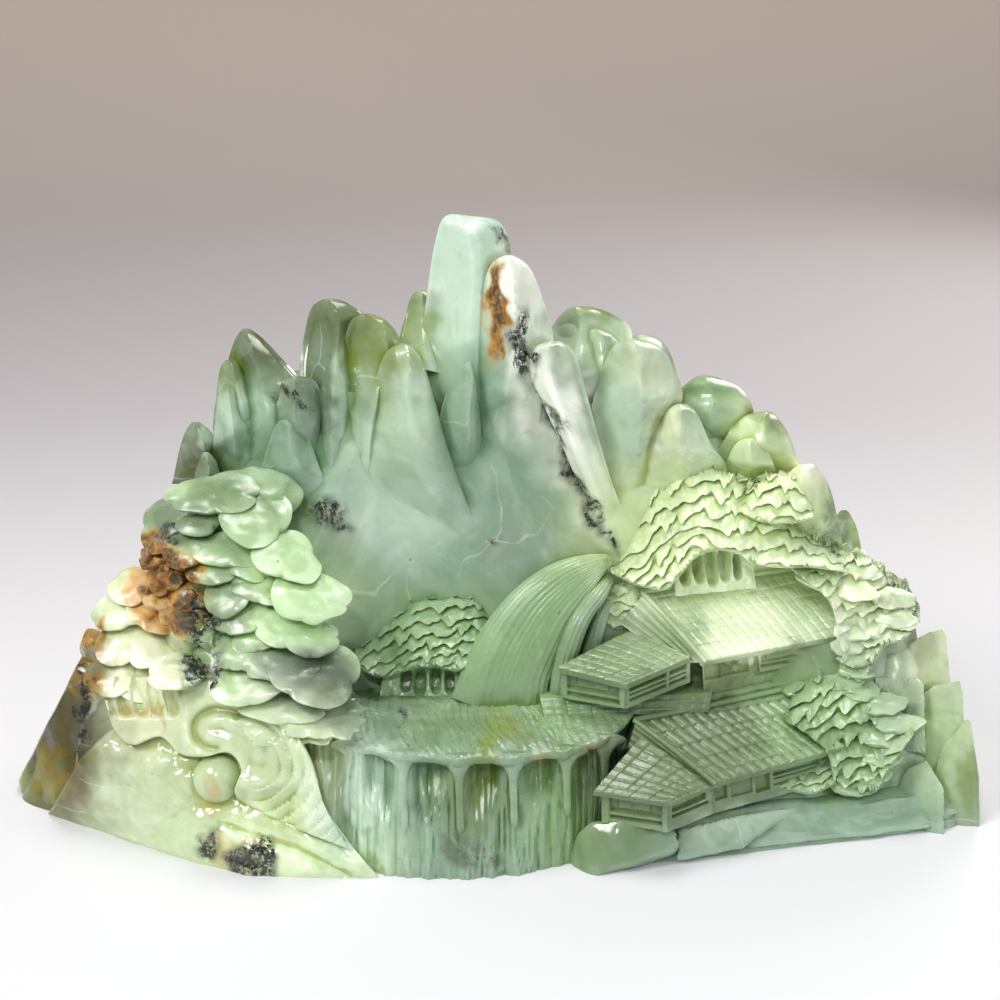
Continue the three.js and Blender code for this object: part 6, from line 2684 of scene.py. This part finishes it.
@dataclass(frozen=True)
class Studio:
    """The pale floor and backdrop, the soft lamps and the camera."""

    lens: float = 72.0
    sensor: float = 36.0
    aim: Place = (0.0, 0.0, 0.14)

    def floor(self) -> bpy.types.Object:
        """A sheet that lies flat under the stone and sweeps up behind it: a quarter round joins the two."""
        rows, cols = 80, 9
        across = np.linspace(-4.0, 4.0, cols)
        length = np.linspace(0, 1, rows)
        bend = 1.2
        flat = 3.4
        run = length * (flat + bend * math.pi / 2 + 3.0)
        turn = np.clip((run - flat) / bend, 0, math.pi / 2)
        y = -1.9 + np.minimum(run, flat) + bend * np.sin(turn)
        z = bend * (1 - np.cos(turn)) + np.maximum(run - flat - bend * math.pi / 2, 0)
        points = np.stack(np.broadcast_arrays(across, y[:, None], z[:, None]), -1)
        index = np.arange(rows * cols).reshape(rows, cols)
        faces = np.stack([index[:-1, :-1], index[:-1, 1:], index[1:, 1:], index[1:, :-1]], -1).reshape(-1, 4)
        mesh = bpy.data.meshes.new("floor")
        mesh.from_pydata(points.reshape(-1, 3).tolist(), [], faces.tolist())
        mesh.polygons.foreach_set("use_smooth", np.ones(len(mesh.polygons), bool))
        sheet = bpy.data.objects.new("floor", mesh)
        bpy.context.scene.collection.objects.link(sheet)
        made = bpy.data.materials.new("pale_paper")
        made.use_nodes = True
        shader = made.node_tree.nodes["Principled BSDF"]
        shader.inputs["Roughness"].default_value = 0.55
        add = Wiring(made.node_tree)
        place = add.node("ShaderNodeTexCoord").outputs["Object"]
        y_of = add.node("ShaderNodeSeparateXYZ", Vector=place).outputs["Y"]
        white, lilac, warm = (0.76, 0.76, 0.79, 1), (0.57, 0.54, 0.57, 1), (0.86, 0.74, 0.65, 1)
        colour = add.mix(add.between(y_of, 0.05, 0.75, 1.0), white, lilac)
        colour = add.mix(add.between(y_of, 0.9, 2.4, 1.0), colour, warm)
        made.node_tree.links.new(colour, shader.inputs["Base Color"])
        mesh.materials.append(made)
        return sheet

    def lamp(self, name: str, place: Place, size: float, power: float, tone: Colour) -> None:
        """A square soft lamp at a place, aimed at the middle of the stone.

        Args:
            name: the lamp's name.
            place: where it hangs, in metres.
            size: the length of its side.
            power: its power in watts.
            tone: its colour.
        """
        light = bpy.data.lights.new(name, "AREA")
        light.shape = "SQUARE"
        light.size = size
        light.energy = power
        light.color = tone
        lamp = bpy.data.objects.new(name, light)
        bpy.context.scene.collection.objects.link(lamp)
        way = np.array(self.aim) - np.array(place)
        lamp.location = place
        lamp.rotation_euler = direction_angles(way)

    def lights(self) -> None:
        """A window on the left, a fill on the right, a top light, a small one in front and one behind."""
        world = bpy.data.worlds.new("soft_room")
        world.use_nodes = True
        background = world.node_tree.nodes["Background"]
        background.inputs["Color"].default_value = (0.87, 0.88, 0.89, 1)
        background.inputs["Strength"].default_value = 0.36
        bpy.context.scene.world = world
        self.lamp("window", (-0.9, -0.7, 1.25), 0.55, 14, (1.0, 0.99, 0.96))
        self.lamp("fill", (1.3, -0.9, 0.7), 1.0, 4, (0.94, 0.97, 1.0))
        self.lamp("top", (0.1, 0.15, 1.5), 0.5, 9, (1.0, 1.0, 0.98))
        self.lamp("spark", (-0.25, -1.6, 1.5), 0.16, 10, (1.0, 1.0, 1.0))
        self.lamp("behind", (0.8, 1.1, 0.7), 0.7, 5, (1.0, 0.98, 0.92))

    def camera(self) -> None:
        """The camera at the eye of the drawing board, looking square at it."""
        data = bpy.data.cameras.new("view")
        data.lens = self.lens
        data.sensor_width = self.sensor
        data.sensor_fit = "HORIZONTAL"
        data.clip_start = 0.05
        view = bpy.data.objects.new("view", data)
        bpy.context.scene.collection.objects.link(view)
        view.location = BOARD.eye * METRES
        view.rotation_euler = (math.radians(90 - BOARD.drop), 0, 0)
        bpy.context.scene.camera = view

    def build(self) -> None:
        """Sets up floor, lights and camera."""
        bpy.context.scene.view_settings.view_transform = "Standard"
        self.floor()
        self.lights()
        self.camera()


def direction_angles(way: Array) -> tuple[float, float, float]:
    """The turn that points a lamp's own -Z along a direction."""
    flat = math.hypot(way[0], way[1])
    return (math.atan2(flat, -way[2]), 0.0, math.atan2(-way[0], way[1]) if flat > 1e-9 else 0.0)


def main() -> None:
    """Builds the studio and every piece of the carving, and reports each piece."""
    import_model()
    Studio().build()
    clear = Polish("clear_jade", veins=0.3).material()
    leaf = Polish(
        "foliage_jade", roughness=0.26, veins=0.12, milk=0.2, wet=0.28, sparkle=0.4, depths=0.42, rim_light=0.6
    ).material()
    wet = Polish(
        "water_jade", roughness=0.24, veins=0.1, milk=0.14, wet=0.3, sparkle=0.6, gloss=0.32, depths=0.6
    ).material()
    hall = Polish(
        "tile_jade", roughness=0.26, veins=0.03, milk=0.12, grain=0.12, depths=0.6, wet=0.3, sparkle=0.7
    ).material()
    pieces: list[SubAssembly] = [
        Mountain("mountain", clear, GREY_GREEN),
        LeftPine("left_pine", leaf, LEAF_GREEN),
        CloudFoot("cloud_and_foot", clear, IVORY),
        Water("water", wet, GREY_GREEN),
        CentrePine("centre_pine", leaf, LEAF_GREEN),
        UpperPine("upper_pine", leaf, YELLOW_GREEN),
        LeafPines("leaf_pines", leaf, LEAF_GREEN),
        Halls("halls", hall, MOSS),
        RightRocks("right_rocks", clear, GREY_GREEN),
    ]
    built = [piece.build() for piece in pieces]
    paint_relief([made.data for made in built])
    for made in built:
        made.data.calc_loop_triangles()
        LOG.info("%s: %d triangles", made.name, len(made.data.loop_triangles))


if __name__ == "__main__":
    main()
